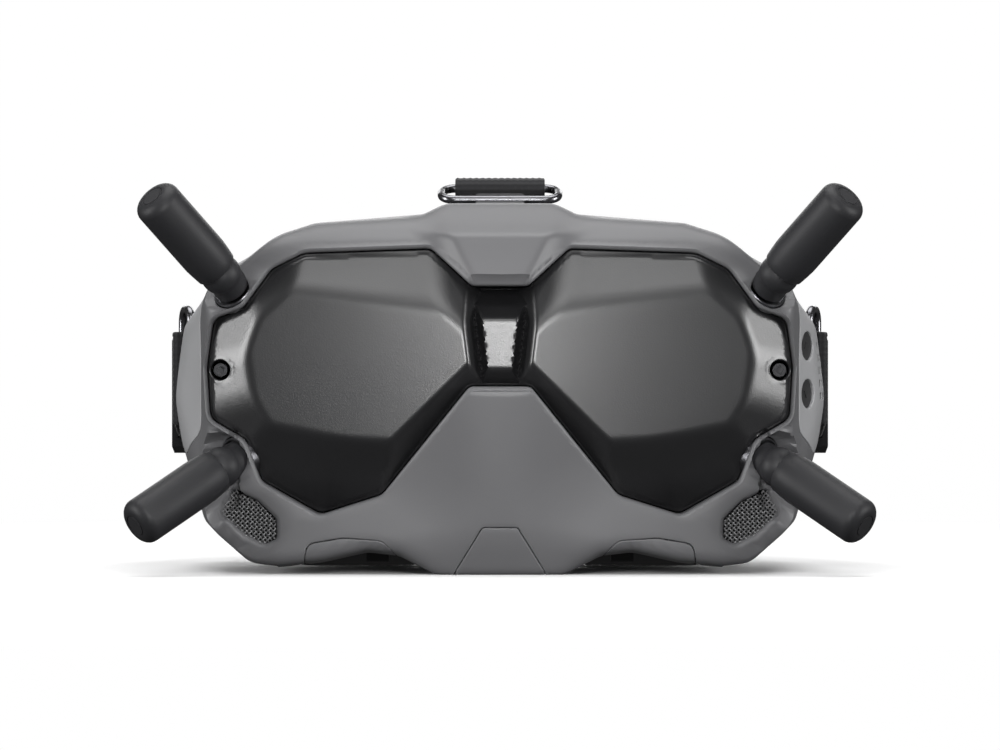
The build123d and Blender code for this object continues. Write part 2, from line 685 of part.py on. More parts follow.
def head_band(thickness, half):
    """The U-shaped band, which droops from the loops to the table behind the goggles."""
    left = HEAD_LINE[:-1]
    line = left + [HEAD_LINE[-1]] + [(-x, y) for x, y in reversed(left)]
    plan_face = ribbon(line, thickness)
    fall = BAND_Z[1] - BAND_Z[0]
    drop = [(y, BAND_Z[0] + fall * smooth((y - 66) / (180 - 66))) for y in range(66, 187, 12)]
    upper = Spline(*[(y, z + half) for y, z in drop])
    lower = Spline(*[(y, z - half) for y, z in reversed(drop)])
    ends = [Line(upper @ 1, lower @ 0), Line(lower @ 1, upper @ 0)]
    side_face = make_face([upper, ends[0], lower, ends[1]])
    return top_prism(plan_face, -20, 110) & side_prism(side_face, -100, 100)


def smooth(t):
    """Eases from 0 to 1 with level ends."""
    t = min(max(t, 0.0), 1.0)
    return t * t * (3 - 2 * t)


def make_headband():
    body = head_band(STRAP_T, STRAP_HALF)
    x, y = SIDE_LOOP_BACK
    eye = rod((x, y, BAND_Z[0] - STRAP_HALF), (x, y, BAND_Z[0] + STRAP_HALF), WIRE_R + 0.3 + STRAP_T)
    body += pair(eye)
    return body - pair(rod((x, y, 0), (x, y, 110), WIRE_R + 0.3))


TOP_LINE = [(69.4, 112.3), (90, 111.5), (122, 102), (152, 82), (173, 56), (184.3, 30), (185.2, 8)]


def make_top_strap():
    body = side_prism(ribbon(TOP_LINE, STRAP_T), -TOP_STRAP_HALF, TOP_STRAP_HALF)
    y, z = TOP_LOOP_BACK
    body += rod((-TOP_STRAP_HALF, y, z), (TOP_STRAP_HALF, y, z), WIRE_R + 0.3 + STRAP_T)
    return body - rod((-40, y, z), (40, y, z), WIRE_R + 0.3)


def wire_loop(front, back, long_axis, half):
    """A wire loop with two long bars, given the middles of the bars and the way they run."""
    across = Vector(*back) - Vector(*front)
    middle = (Vector(*back) + Vector(*front)) / 2
    plane = Plane(origin=middle, x_dir=across, z_dir=across.cross(Vector(*long_axis)))
    path = (plane * RectangleRounded(across.length, 2 * half, 4.0)).wire()
    start = Plane(origin=path @ 0, z_dir=path % 0)
    return sweep(start * Circle(WIRE_R), path=path)


def make_adjuster():
    """A slide buckle round the left side of the headband."""
    z = BAND_Z[0] + (BAND_Z[1] - BAND_Z[0]) * smooth((ADJUSTER_Y - 66) / (180 - 66))
    frame = block(-98, -86, ADJUSTER_Y - 5, ADJUSTER_Y + 5, z - STRAP_HALF - 3.2, z + STRAP_HALF + 3.2)
    around = head_band(STRAP_T + 3.6, STRAP_HALF + 3)
    return largest((frame & around) - head_band(STRAP_T + 0.3, STRAP_HALF + 0.4))


# ---------------------------------------------------------------- every part by name
def make_parts():
    made = {
        "main_shell": make_main_shell(),
        "front_mask": make_mask(),
        "mask_screws": pair(make_mask_screw()),
        "left_side_cover": make_side_cover(),
        "right_side_cover": make_right_side_cover(),
        "channel_display": make_channel_display(),
        "nose_hatch": shell_wall & front_prism(offset(hatch_face, -0.2), -10, 15.8),
        "bottom_trims": pair(largest(shell_wall & front_prism(offset(trim_face, -0.2), -10, 29.8))),
        "rear_shell": make_rear_shell(),
        "eyepiece_plate": make_eyepiece_plate(),
        "left_face_frame": make_face_frame(-1),
        "right_face_frame": make_face_frame(1),
        "face_foam": make_foam(),
        "mainboard": make_mainboard(),
        "board_screws": make_board_screws(),
        "heat_sink": make_heat_sink(),
        "fan_housing": make_fan_housing(),
        "fan_impeller": make_impeller(),
        "guide_rods": Compound(children=make_rods()),
        "proximity_sensor": rod((0, HOUSING_BACK - 2, 66), (0, HOUSING_BACK - 0.6, 66), 2.5),
        "power_jack": make_round_jack("power_jack", 2.8, 9, 11, 1.0),
        "audio_jack": make_round_jack("audio_jack", 1.8, 7, 13, 0),
        "usb_port": make_socket_port("usb_port", 7),
        "card_slot": make_socket_port("card_slot", 12),
        "joystick_base": make_joystick_base(),
        "joystick_gimbal": make_joystick_gimbal(),
        "joystick_stem": make_joystick_stem(),
        "joystick_cap": make_joystick_cap(),
        "record_button": make_top_button("record_button"),
        "back_button": make_top_button("back_button"),
        "link_button": make_link_button(),
        "channel_up_button": make_channel_button(CHANNEL_Z[1], 0),
        "channel_down_button": make_channel_button(CHANNEL_Z[0], 180),
        "headband": make_headband(),
        "top_strap": make_top_strap(),
        "strap_adjusters": pair(make_adjuster()),
        "top_loop": wire_loop((0, *TOP_LOOP_FRONT), (0, *TOP_LOOP_BACK), (1, 0, 0), TOP_LOOP_HALF),
        "left_loop": wire_loop(
            (*SIDE_LOOP_FRONT, LOOP_Z), (*SIDE_LOOP_BACK, LOOP_Z), (0, 0, 1), SIDE_LOOP_HALF
        ),
    }
    made["right_loop"] = mirrored(made["left_loop"])
    side_clip = make_loop_clip("Z", (*SIDE_LOOP_FRONT, LOOP_Z), 6, 6)
    top_clip = make_loop_clip("X", (0, *TOP_LOOP_FRONT), 8, 14)
    made["loop_clips"] = Compound(children=[side_clip, mirrored(side_clip), top_clip])
    skin = outer.moved(Pos(0, 0.7, 0)) - outer.moved(Pos(0, 1.9, 0))
    made["air_meshes"] = pair(largest(skin & front_prism(offset(mesh_face, -0.05), -10, 29.5)))
    for side, flip in (("left", lambda s: s), ("right", mirrored)):
        made[side + "_lens_carriage"] = flip(make_carriage())
        made[side + "_eyepiece_lens"] = flip(make_lens())
        made[side + "_display_panel"] = flip(make_display())
        for name in ANTENNAS:
            frame = antenna_frame(name)
            made[f"{name}_{side}_knuckle"] = flip(frame * make_knuckle())
            made[f"{name}_{side}_fold_pin"] = flip(frame * make_pin())
            made[f"{name}_{side}_mast"] = flip(frame * fold(make_mast(), rest_fold(name)))
    sockets = [antenna_frame(name) * make_socket() for name in ANTENNAS]
    made["antenna_sockets"] = Compound(children=sockets + [mirrored(s) for s in sockets])
    return made


parts = make_parts()
boxes = [shape.bounding_box() for shape in parts.values()]
front, back = min(b.min.Y for b in boxes), max(b.max.Y for b in boxes)
SHIFT = Vector(0, -(front + back) / 2, -min(b.min.Z for b in boxes))

os.makedirs("parts", exist_ok=True)
for name, shape in parts.items():
    print(name, len(shape.solids()), shape.is_valid, round(shape.volume, 1))
    export_step(Compound(shape.moved(Location(SHIFT)).solids()), f"parts/{name}.step")
print("front", front, "back", back, "shift", SHIFT)
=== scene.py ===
import math

import bpy
import numpy as np
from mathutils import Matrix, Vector, geometry


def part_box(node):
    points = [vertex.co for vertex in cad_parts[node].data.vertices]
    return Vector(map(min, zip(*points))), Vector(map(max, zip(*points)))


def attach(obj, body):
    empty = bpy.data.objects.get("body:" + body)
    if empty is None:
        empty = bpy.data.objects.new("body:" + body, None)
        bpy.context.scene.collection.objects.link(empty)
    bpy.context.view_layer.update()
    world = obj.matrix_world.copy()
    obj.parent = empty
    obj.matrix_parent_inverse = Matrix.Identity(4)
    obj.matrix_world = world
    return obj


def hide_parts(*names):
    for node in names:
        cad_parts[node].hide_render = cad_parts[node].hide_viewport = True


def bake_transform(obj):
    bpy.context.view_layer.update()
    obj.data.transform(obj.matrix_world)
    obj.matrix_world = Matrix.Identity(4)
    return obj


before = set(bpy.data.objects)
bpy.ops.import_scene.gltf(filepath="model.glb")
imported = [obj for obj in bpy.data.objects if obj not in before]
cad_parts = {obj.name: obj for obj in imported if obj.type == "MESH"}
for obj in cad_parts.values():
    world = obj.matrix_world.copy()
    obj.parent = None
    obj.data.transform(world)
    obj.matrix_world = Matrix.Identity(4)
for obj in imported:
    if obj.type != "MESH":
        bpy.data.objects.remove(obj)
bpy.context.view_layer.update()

# The looks of a pair of video goggles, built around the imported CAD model.
# Shapes are worked out in millimetres with y = 0 near the front of the housing and z = 0 at the
# table, as in the CAD source, and are moved into the frame by place().

shell_low, shell_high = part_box("main_shell")
HEIGHT = 104.0
NOSE_Y = -2.0
ORIGIN = np.array([0.0, shell_low.y - NOSE_Y / 1000, shell_high.z - HEIGHT / 1000])
SPLIT_Y = 42.0
HOUSING_BACK = 66.0


def place(points):
    """Millimetres about the housing as metres in the frame."""
    return np.asarray(points, float) / 1000 + ORIGIN


# -------- plane geometry
def both(half):
    """A left half, from the top centre line down, with its mirror image."""
    return list(half) + [(-x, z) for x, z in reversed(half) if abs(x) > 1e-6]


def rounded(points, radii, steps=6):
    """A closed outline with an arc at each corner."""
    points = np.asarray(points, float)
    if np.isscalar(radii):
        radii = [radii] * len(points)
    made = []
    for i, corner in enumerate(points):
        a, b = points[i - 1] - corner, points[(i + 1) % len(points)] - corner
        la, lb = np.linalg.norm(a), np.linalg.norm(b)
        a, b = a / la, b / lb
        half = math.acos(float(np.clip(a @ b, -1, 1))) / 2
        reach = min(radii[i] / math.tan(half), 0.47 * la, 0.47 * lb)
        start, end = corner + a * reach, corner + b * reach
        for t in np.linspace(0, 1, steps + 1):
            made.append((1 - t) ** 2 * start + 2 * t * (1 - t) * corner + t * t * end)
    return np.array(made)


def resampled(curve, step, closed=True):
    """The same line with points about one step apart."""
    curve = np.asarray(curve, float)
    line = np.vstack([curve, curve[:1]]) if closed else curve
    gaps = np.linalg.norm(np.diff(line, axis=0), axis=1)
    line = line[np.r_[True, gaps > 1e-9]]
    run = np.r_[0, np.cumsum(np.linalg.norm(np.diff(line, axis=0), axis=1))]
    count = max(8, int(round(run[-1] / step)))
    at = np.linspace(0, run[-1], count + 1)
    made = np.stack([np.interp(at, run, line[:, k]) for k in range(line.shape[1])], axis=1)
    return made[:-1] if closed else made


def circle(centre, radius, count=40):
    angle = np.linspace(0, 2 * math.pi, count, endpoint=False)
    return np.stack([centre[0] + radius * np.cos(angle), centre[1] + radius * np.sin(angle)], axis=1)


def arc(centre, radius, start, end, count=14):
    """Points from one angle to another, in degrees."""
    angle = np.radians(np.linspace(start, end, count))
    return np.stack([centre[0] + radius * np.cos(angle), centre[1] + radius * np.sin(angle)], axis=1)


def slot_outline(centre, length, width):
    """A slot with round ends, long across x."""
    reach = (length - width) / 2
    angle = np.linspace(-math.pi / 2, math.pi / 2, 9)
    right = np.stack([reach + width / 2 * np.cos(angle), width / 2 * np.sin(angle)], axis=1)
    return np.vstack([right, -right]) + centre


def rectangle(centre, wide, deep, radius=0.4):
    a, b = wide / 2, deep / 2
    return rounded([(-a, -b), (a, -b), (a, b), (-a, b)], radius, 3) + np.asarray(centre, float)


def inside(points, loop):
    x, y = points[:, 0], points[:, 1]
    hit = np.zeros(len(points), bool)
    for (x0, y0), (x1, y1) in zip(loop, np.roll(loop, -1, axis=0)):
        if y0 == y1:
            continue
        crosses = (y0 > y) != (y1 > y)
        hit ^= crosses & (x < (x1 - x0) * (y - y0) / (y1 - y0) + x0)
    return hit


def distance(points, loop):
    """Distance from each point to a closed outline."""
    best = np.full(len(points), 1e9)
    for a, b in zip(loop, np.roll(loop, -1, axis=0)):
        d = b - a
        t = np.clip(((points - a) @ d) / max(d @ d, 1e-12), 0, 1)
        gap = points - a - t[:, None] * d
        best = np.minimum(best, (gap * gap).sum(axis=1))
    return np.sqrt(best)


class Field:
    """Signed distance to an outline, negative inside, looked up on a fine grid."""

    STEP = 0.5

    def __init__(self, outline, low, high):
        self.low = np.array(low, float)
        count = ((np.array(high) - low) / self.STEP).astype(int) + 1
        a = low[0] + self.STEP * np.arange(count[0])
        b = low[1] + self.STEP * np.arange(count[1])
        grid = np.stack(np.meshgrid(a, b, indexing="ij"), axis=-1).reshape(-1, 2)
        signed = distance(grid, outline) * np.where(inside(grid, outline), -1, 1)
        self.values = signed.reshape(count)

    def __call__(self, a, b):
        top = np.array(self.values.shape) - 1.001
        u = np.clip((a - self.low[0]) / self.STEP, 0, top[0])
        v = np.clip((b - self.low[1]) / self.STEP, 0, top[1])
        i, j = u.astype(int), v.astype(int)
        u, v = u - i, v - j
        g = self.values
        low = g[i, j] * (1 - u) + g[i + 1, j] * u
        high = g[i, j + 1] * (1 - u) + g[i + 1, j + 1] * u
        return low * (1 - v) + high * v


def smooth_max(a, b, k):
    """The larger of two fields with a round edge of about k where they meet."""
    h = np.clip(0.5 + 0.5 * (a - b) / k, 0, 1)
    return b * (1 - h) + a * h + k * h * (1 - h)


def smooth_min(a, b, k):
    return -smooth_max(-a, -b, k)


def ease(t):
    t = np.clip(t, 0, 1)
    return t * t * (3 - 2 * t)


# -------- the housing's outer form
SILHOUETTE = both([
    (-14.6, HEIGHT), (-21.5, 100.6), (-52, 98.6), (-63, 95.0), (-82, 79.5), (-90, 70), (-93.6, 49),
    (-90.6, 36), (-83.5, 14.5), (-70, 3.0), (-62, 2.2), (-50, 3.6), (-37, 6.6), (-28, 5.6), (-17, 0.0),
])
SILHOUETTE_R = [3, 5, 8, 20, 8, 8, 16, 12, 6, 8, 6, 8, 8, 8, 6]
PLAN = both([
    (-8, 5.5), (-20, 6.5), (-45, 8.5), (-62, 10.2), (-73, 12.2), (-81.6, 15.2), (-84.6, 23), (-89.4, 32),
    (-93.4, 40), (-94.2, 46), (-92.8, 51), (-88.0, 58), (-86.8, 80),
])
PROFILE = [
    (9, 0), (5, 13), (-2, 50), (-2, 83), (4, 95), (19, 104), (31, 104), (80, 95), (80, 1.2), (60, 1.2),
]
MASK_OUTLINE = both([
    (-7.8, 80.6), (-19.3, 91.2), (-55, 90), (-64, 85.5), (-72, 74.5), (-80.5, 71.5), (-82.4, 58),
    (-81.4, 43.5), (-71, 37.5), (-67, 26), (-50.5, 16.6), (-33, 22.2), (-8.5, 52.6),
])
MASK_R = [2, 3, 8, 6, 5, 4, 10, 4, 5, 4, 4, 5, 2.5]


def mirror_list(half):
    return half + half[::-1]


silhouette = Field(rounded(SILHOUETTE, mirror_list(SILHOUETTE_R)), (-4, -14), (112, 118))
plan = Field(rounded(PLAN, 4), (-4, -30), (112, 84))
profile = Field(rounded(PROFILE, 2), (-30, -14), (84, 118))
mask_outline = rounded(MASK_OUTLINE, mirror_list(MASK_R))


def plane_through(a, b, c, within):
    """A half space through three points, as (unit normal, offset), that holds the point within."""
    a, b, c, within = (np.array(p, float) for p in (a, b, c, within))
    n = np.cross(b - a, c - a)
    n /= np.linalg.norm(n)
    if (within - a) @ n > 0:
        n = -n
    return n, n @ a


def facing(normal, point):
    n = np.array(normal, float)
    n /= np.linalg.norm(n)
    return n, n @ np.array(point, float)


def convex(p, planes, k):
    """A solid between planes, with round edges, of points whose x is already positive."""
    d = None
    for n, offset in planes:
        here = p @ n - offset
        d = here if d is None else smooth_max(d, here, k)
    return d


BROW_IN = (0, 30, 90)
RIDGE, FRONT, WING = (12.7, 4, 95), (6.5, -2, 82.8), (19.6, 8.5, 91)
BROW = [
    facing((0, -9, 16), (0, 4, 95)),
    facing((0, -12.2, 6), (0, -2, 82.8)),
    facing((0, -0.60, -0.80), (0, -2, 82.6)),
    plane_through(RIDGE, FRONT, WING, BROW_IN),
    plane_through(RIDGE, (15, 20, 104), (24.5, 14, 96.5), BROW_IN),
]
NOSE_IN = (0, 30, 30)
NOSE_TOP, NOSE_FOOT = (7.9, -1, 52), (5.5, 5, 14)
NOSE = [
    facing((0, -38, -6), (0, -1, 52)),
    facing((0, -0.955, -0.296), (0, 5, 14)),
    plane_through(NOSE_TOP, NOSE_FOOT, (45, 12.5, 20), NOSE_IN),
    facing((0, -0.75, 0.66), (0, -1, 51)),
]
COLLAR_R = 8.7
COLLAR_FLARE = math.tan(math.radians(34))
MAST_SWEEP_R, SWEEP_FLARE = 7.7, 0.6     # room for a mast outside its collar, which widens outwards


def leaning(degrees_up, lean):
    """A direction on the left that rises by an angle in the front view and leans forwards."""
    up, lean = math.radians(degrees_up), math.radians(lean)
    return np.array([-math.cos(up) * math.cos(lean), -math.sin(lean), math.sin(up) * math.cos(lean)])


CONNECTOR_LEAN, MAST_LEAN = 42.0, 29.0
ANTENNAS = {
    "upper": (np.array([-74.5, 15.0, 79.8]), leaning(49.5, CONNECTOR_LEAN), leaning(49.5, MAST_LEAN)),
    "lower": (np.array([-73.2, 17.0, 32.4]), leaning(-26.8, CONNECTOR_LEAN), leaning(-34.8, MAST_LEAN)),
}
MIRROR = np.array([-1.0, 1.0, 1.0])
SIDES = {"left": np.ones(3), "right": MIRROR}


def form(p):
    """Signed distance, roughly, to the housing's outer surface."""
    q = np.abs(p[:, 0])
    y, z = p[:, 1], p[:, 2]
    right = np.stack([q, y, z], axis=1)
    outline, side, along = silhouette(q, z), plan(q, y), profile(y, z)
    d = smooth_max(outline, side, 4.0)
    d = smooth_max(d, along, 1.6)
    d = smooth_max(d, (side + z - 91.5) / math.sqrt(2), 3.0)
    brow = smooth_max(convex(right, BROW, 1.2), smooth_max(outline, along, 1.2), 1.2)
    d = smooth_min(d, brow, 2.0)
    nose = smooth_max(convex(right, NOSE, 1.2), smooth_max(outline, z - 55, 1.2), 1.2)
    nose = np.maximum(nose, q - 62)
    d = smooth_min(d, nose, 2.0)
    for centre, axis, _ in ANTENNAS.values():
        to = right - centre * MIRROR
        down = to @ (axis * MIRROR)
        off = np.sqrt(np.maximum((to * to).sum(axis=1) - down * down, 0))
        cone = (off - COLLAR_R + down * COLLAR_FLARE) * math.cos(math.atan(COLLAR_FLARE))
        collar = smooth_max(smooth_max(cone, down, 1.6), -down - 16, 1.0)
        d = smooth_min(d, collar, 3.5)
        room = np.maximum(np.maximum(off - MAST_SWEEP_R - SWEEP_FLARE * down, -down), -to[:, 0])
        d = smooth_max(d, -room, 0.6)
    return d


MIDDLE = np.array([0.0, 40.0, 55.0])


def crossing(starts, directions, low, high, step, last):
    """Where rays meet the form: their last way out, or their first way in."""
    at = np.arange(low, high + step, step)
    edge = np.full(len(starts), high)
    found = np.zeros(len(starts), bool)
    before = form(starts + directions * at[0]) < 0
    for t in at[1:]:
        now = form(starts + directions * t) < 0
        if last:
            edge = np.where(before & ~now, t, edge)
        else:
            fresh = now & ~before & ~found
            edge = np.where(fresh, t, edge)
            found |= fresh
        before = now
    a, b = edge - step, edge.copy()
    for _ in range(14):
        middle = (a + b) / 2
        within = form(starts + directions * middle[:, None]) < 0
        forward = within if last else ~within
        a, b = np.where(forward, middle, a), np.where(forward, b, middle)
    return starts + directions * ((a + b) / 2)[:, None]


def on_surface(directions):
    """The housing's surface along each direction from its middle."""
    return crossing(np.tile(MIDDLE, (len(directions), 1)), directions, 16.0, 128.0, 2.0, True)


CAST_FROM, CAST_REACH = (0.0, 40.0, 52.0), 110.0


def cast(flat, axis, sign):
    """Points given in a plane, carried along an axis on to the housing from outside."""
    flat = np.asarray(flat, float)
    starts = np.insert(flat, axis, CAST_FROM[axis] - sign * CAST_REACH, axis=1)
    directions = np.zeros_like(starts)
    directions[:, axis] = sign
    return crossing(starts, directions, 0.0, 170.0, 1.0, False)


def band_at(y, step=0.9):
    """The closed curve where the plane at depth y cuts the housing."""
    angle = np.linspace(0, 2 * math.pi, 720, endpoint=False)
    directions = np.stack([np.cos(angle), np.zeros_like(angle), np.sin(angle)], axis=1)
    starts = np.tile([0.0, y, MIDDLE[2]], (len(angle), 1))
    return resampled(crossing(starts, directions, 10.0, 120.0, 1.0, True), step)


def to_map(points):
    """Directions from the middle, laid flat about the forward direction."""
    d = points - MIDDLE
    d = d / np.linalg.norm(d, axis=1)[:, None]
    theta = np.arccos(np.clip(-d[:, 1], -1, 1))
    phi = np.arctan2(d[:, 2], d[:, 0])
    return np.stack([theta * np.cos(phi), theta * np.sin(phi)], axis=1)


def from_map(uv):
    theta = np.hypot(uv[:, 0], uv[:, 1])
    phi = np.arctan2(uv[:, 1], uv[:, 0])
    return np.stack([np.sin(theta) * np.cos(phi), -np.cos(theta), np.sin(theta) * np.sin(phi)], axis=1)


# -------- mesh building
def filled(outer, holes, step, clear, within=None):
    """Triangles that fill an outline, except for its holes and what is outside within."""
    loops = [outer, *holes, *([within] if within is not None else [])]
    area = within if within is not None else outer

    def kept(points):
        keep = inside(points, outer) & inside(points, area)
        for hole in holes:
            keep &= ~inside(points, hole)
        return keep

    low, high = area.min(axis=0), area.max(axis=0)
    grid = []
    for k, v in enumerate(np.arange(low[1], high[1], step * math.sqrt(3) / 2)):
        u = np.arange(low[0] + (k % 2) * step / 2, high[0], step)
        grid.append(np.stack([u, np.full(len(u), v)], axis=1))
    grid = np.vstack(grid)
    grid = grid[kept(grid)]
    for loop, room in zip(loops, clear):
        grid = grid[distance(grid, loop) > room]
    points, edges = [], []
    for loop in loops:
        first = len(points)
        points += [Vector(p) for p in loop]
        edges += [(first + i, first + (i + 1) % len(loop)) for i in range(len(loop))]
    points += [Vector(p) for p in grid]
    verts, _, faces, *_ = geometry.delaunay_2d_cdt(points, edges, [], 0, 1e-7, False)
    verts = np.array([tuple(v) for v in verts])
    faces = np.array([tuple(f) for f in faces if len(f) == 3])
    faces = faces[kept(verts[faces].mean(axis=1))]
    sides = verts[faces] - verts[np.roll(faces, 1, axis=1)]
    twice_area = np.abs(sides[:, 0, 0] * sides[:, 1, 1] - sides[:, 0, 1] * sides[:, 1, 0])
    faces = faces[twice_area > 0.012 * (sides ** 2).sum(axis=2).max(axis=1)]
    used = np.unique(faces)
    index = np.full(len(verts), -1)
    index[used] = np.arange(len(used))
    return verts[used], index[faces]


def corner_normals(points, faces):
    n = np.cross(points[faces[:, 1]] - points[faces[:, 0]], points[faces[:, 2]] - points[faces[:, 0]])
    total = np.zeros_like(points)
    for k in range(3):
        np.add.at(total, faces[:, k], n)
    return total / np.maximum(np.linalg.norm(total, axis=1), 1e-12)[:, None]


def boundary_loops(faces):
    """Closed runs of the edges that belong to one triangle."""
    edges = np.vstack([faces[:, [0, 1]], faces[:, [1, 2]], faces[:, [2, 0]]])
    there = {tuple(e) for e in edges.tolist()}
    following = {a: b for a, b in there if (b, a) not in there}
    loops = []
    while following:
        start = next(iter(following))
        loop, here = [start], following.pop(start)
        while here != start and here in following:
            loop.append(here)
            here = following.pop(here)
        loops.append(np.array(loop))
    return loops


TRAY_Y = 23.5               # the walls round the mask stop here, clear of the channel buttons


def lip(curve, gap=0.10, radius=0.30, depth=1.7, wall=None):
    """An edge near a curve: how far it draws back, its rounding, and its wall (straight down if None)."""
    return curve, gap, radius, depth, wall


def with_lips(points, faces, lips):
    """Rounds the edge of a panel at each loop, as the nearest lip says, and turns it down into a wall."""
    normals = corner_normals(points, faces)
    points = points.copy()
    added, more = [], []
    count = len(points)
    for loop in boundary_loops(faces):
        if len(loop) < 4:
            continue
        middle = points[loop]
        away = [np.linalg.norm(middle[:, None] - near[0][None, ::6], axis=2).min(1).mean() for near in lips]
        _, gap, radius, depth, wall = lips[int(np.argmin(away))]
        along = np.roll(middle, -1, axis=0) - np.roll(middle, 1, axis=0)
        along /= np.maximum(np.linalg.norm(along, axis=1), 1e-9)[:, None]
        up = normals[loop] if wall is None else np.tile(-np.array(wall, float), (len(loop), 1))
        inward = np.cross(up, along)
        inward /= np.maximum(np.linalg.norm(inward, axis=1), 1e-9)[:, None]
        rings = []
        for a in np.linspace(0, math.pi / 2, 5):
            pulled = middle + inward * (gap + radius * (1 - math.sin(a)))
            rings.append(pulled - up * radius * (1 - math.cos(a)))
        down = -up if wall is None else np.tile(np.array(wall, float), (len(loop), 1))
        rings.append(rings[-1] + down * (depth - radius))
        if wall is not None:
            rings[-1][:, 1] = np.minimum(rings[-1][:, 1], TRAY_Y)
        points[loop] = rings[0]
        previous = loop
        for ring in rings[1:]:
            added.append(ring)
            current = np.arange(count, count + len(loop))
            count += len(loop)
            a, b = previous, np.roll(previous, -1)
            c, d = current, np.roll(current, -1)
            more.append(np.stack([b, a, c], axis=1))
            more.append(np.stack([b, c, d], axis=1))
            previous = current
    return np.vstack([points, *added]), np.vstack([faces, *more])


def in_scene(name, data):
    thing = bpy.data.objects.new(name, data)
    bpy.context.scene.collection.objects.link(thing)
    return thing


def make_piece(name, points, faces, material, body, slot, sharp=38.0, replaced=()):
    """A mesh in the frame from millimetre points and faces."""
    mesh = bpy.data.meshes.new(name)
    mesh.from_pydata(place(points).tolist(), [], [tuple(int(i) for i in f) for f in faces])
    mesh.validate()
    mesh.update()
    mesh.shade_smooth()
    mesh.set_sharp_from_angle(angle=math.radians(sharp))
    mesh.materials.append(material)
    piece = in_scene(name, mesh)
    if body:
        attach(piece, body)
    if replaced:
        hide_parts(*replaced)
    return piece


MAP_RADIUS = 62.0           # about how far the housing's surface is from its middle


def panel(name, outer, cuts, look, step=1.2, within=None, replaced=()):
    """A stretch of the housing's skin. outer, cuts and within are lips."""
    lips = [outer, *cuts, *([within] if within else [])]
    loops = [to_map(entry[0]) for entry in lips]
    scale = 1 / MAP_RADIUS
    clear = [(0.6 * step + entry[1] + entry[2]) * scale for entry in lips]
    keep_in = loops[-1] if within else None
    holes = loops[1:-1] if within else loops[1:]
    uv, faces = filled(loops[0], holes, step * scale, clear, keep_in)
    points = on_surface(from_map(uv))
    if ((points - MIDDLE) * corner_normals(points, faces)).sum(axis=1).mean() < 0:
        faces = faces[:, ::-1]
    points, faces = with_lips(points, faces, lips)
    return make_piece(name, points, faces, LOOKS[look], "housing", look, replaced=replaced)


def grid_faces(rows, columns, closed_rows=False, closed_columns=False):
    """Quads of a grid of points that is numbered row by row."""
    made = []
    for i in range(rows if closed_rows else rows - 1):
        for j in range(columns if closed_columns else columns - 1):
            a, b = i * columns + j, i * columns + (j + 1) % columns
            c, d = ((i + 1) % rows) * columns + (j + 1) % columns, ((i + 1) % rows) * columns + j
            made.append((a, b, c, d))
    return made


def axes_of(direction):
    """Two directions across a direction, and the direction itself."""
    z = np.array(direction, float)
    z /= np.linalg.norm(z)
    x = np.cross([0.0, 0.0, 1.0], z)
    x /= np.linalg.norm(x)
    return x, np.cross(z, x), z


def around(direction, count):
    """Directions all round an axis, square to it."""
    x, y, _ = axes_of(direction)
    angle = np.linspace(0, 2 * math.pi, count, endpoint=False)
    return np.outer(np.cos(angle), x) + np.outer(np.sin(angle), y)


def lathed(profile_points, origin, direction, segments=56):
    """A turned shape from (radius, height) points about an axis, closed where the radius is zero."""
    ring, up = around(direction, segments), axes_of(direction)[2]
    points = [origin + up * height + ring * radius for radius, height in profile_points]
    return np.vstack(points), grid_faces(len(profile_points), segments, closed_columns=True)


# -------- materials
class Finish:
    """A material under way, with the short steps that the finishes share."""

    def __init__(self, name, **settings):
        self.material = bpy.data.materials.new(name)
        self.material.use_nodes = True
        self.nodes, self.links = self.material.node_tree.nodes, self.material.node_tree.links
        self.shader = self.nodes["Principled BSDF"]
        self.where = self.nodes.new("ShaderNodeTexCoord").outputs["Object"]
        self.fix(self.shader, **settings)

    def fix(self, node, **settings):
        """Sets inputs by name, with _ for each space."""
        for name, value in settings.items():
            node.inputs[name.replace("_", " ")].default_value = value

    def add(self, kind, source, into, **settings):
        """A new node with one input fed from a socket."""
        node = self.nodes.new("ShaderNode" + kind)
        self.fix(node, **settings)
        self.links.new(source, node.inputs[into])
        return node

    def texture(self, kind, **settings):
        return self.add("Tex" + kind, self.where, "Vector", **settings)

    def ranged(self, value, **settings):
        return self.add("MapRange", value, "Value", **settings).outputs["Result"]

    def mixed(self, factor, low, high):
        """A colour between two colours. The low one may be a socket."""
        mix = self.nodes.new("ShaderNodeMix")
        mix.data_type = "RGBA"
        mix.inputs["B"].default_value = (*high, 1)
        if isinstance(low, tuple):
            mix.inputs["A"].default_value = (*low, 1)
        else:
            self.links.new(low, mix.inputs["A"])
        self.links.new(factor, mix.inputs["Factor"])
        return mix.outputs["Result"]

    def feed(self, source, name):
        self.links.new(source, self.shader.inputs[name])

    def bumped(self, height, distance, strength=1.0):
        bump = self.add("Bump", height, "Height", Distance=distance, Strength=strength)
        self.feed(bump.outputs["Normal"], "Normal")


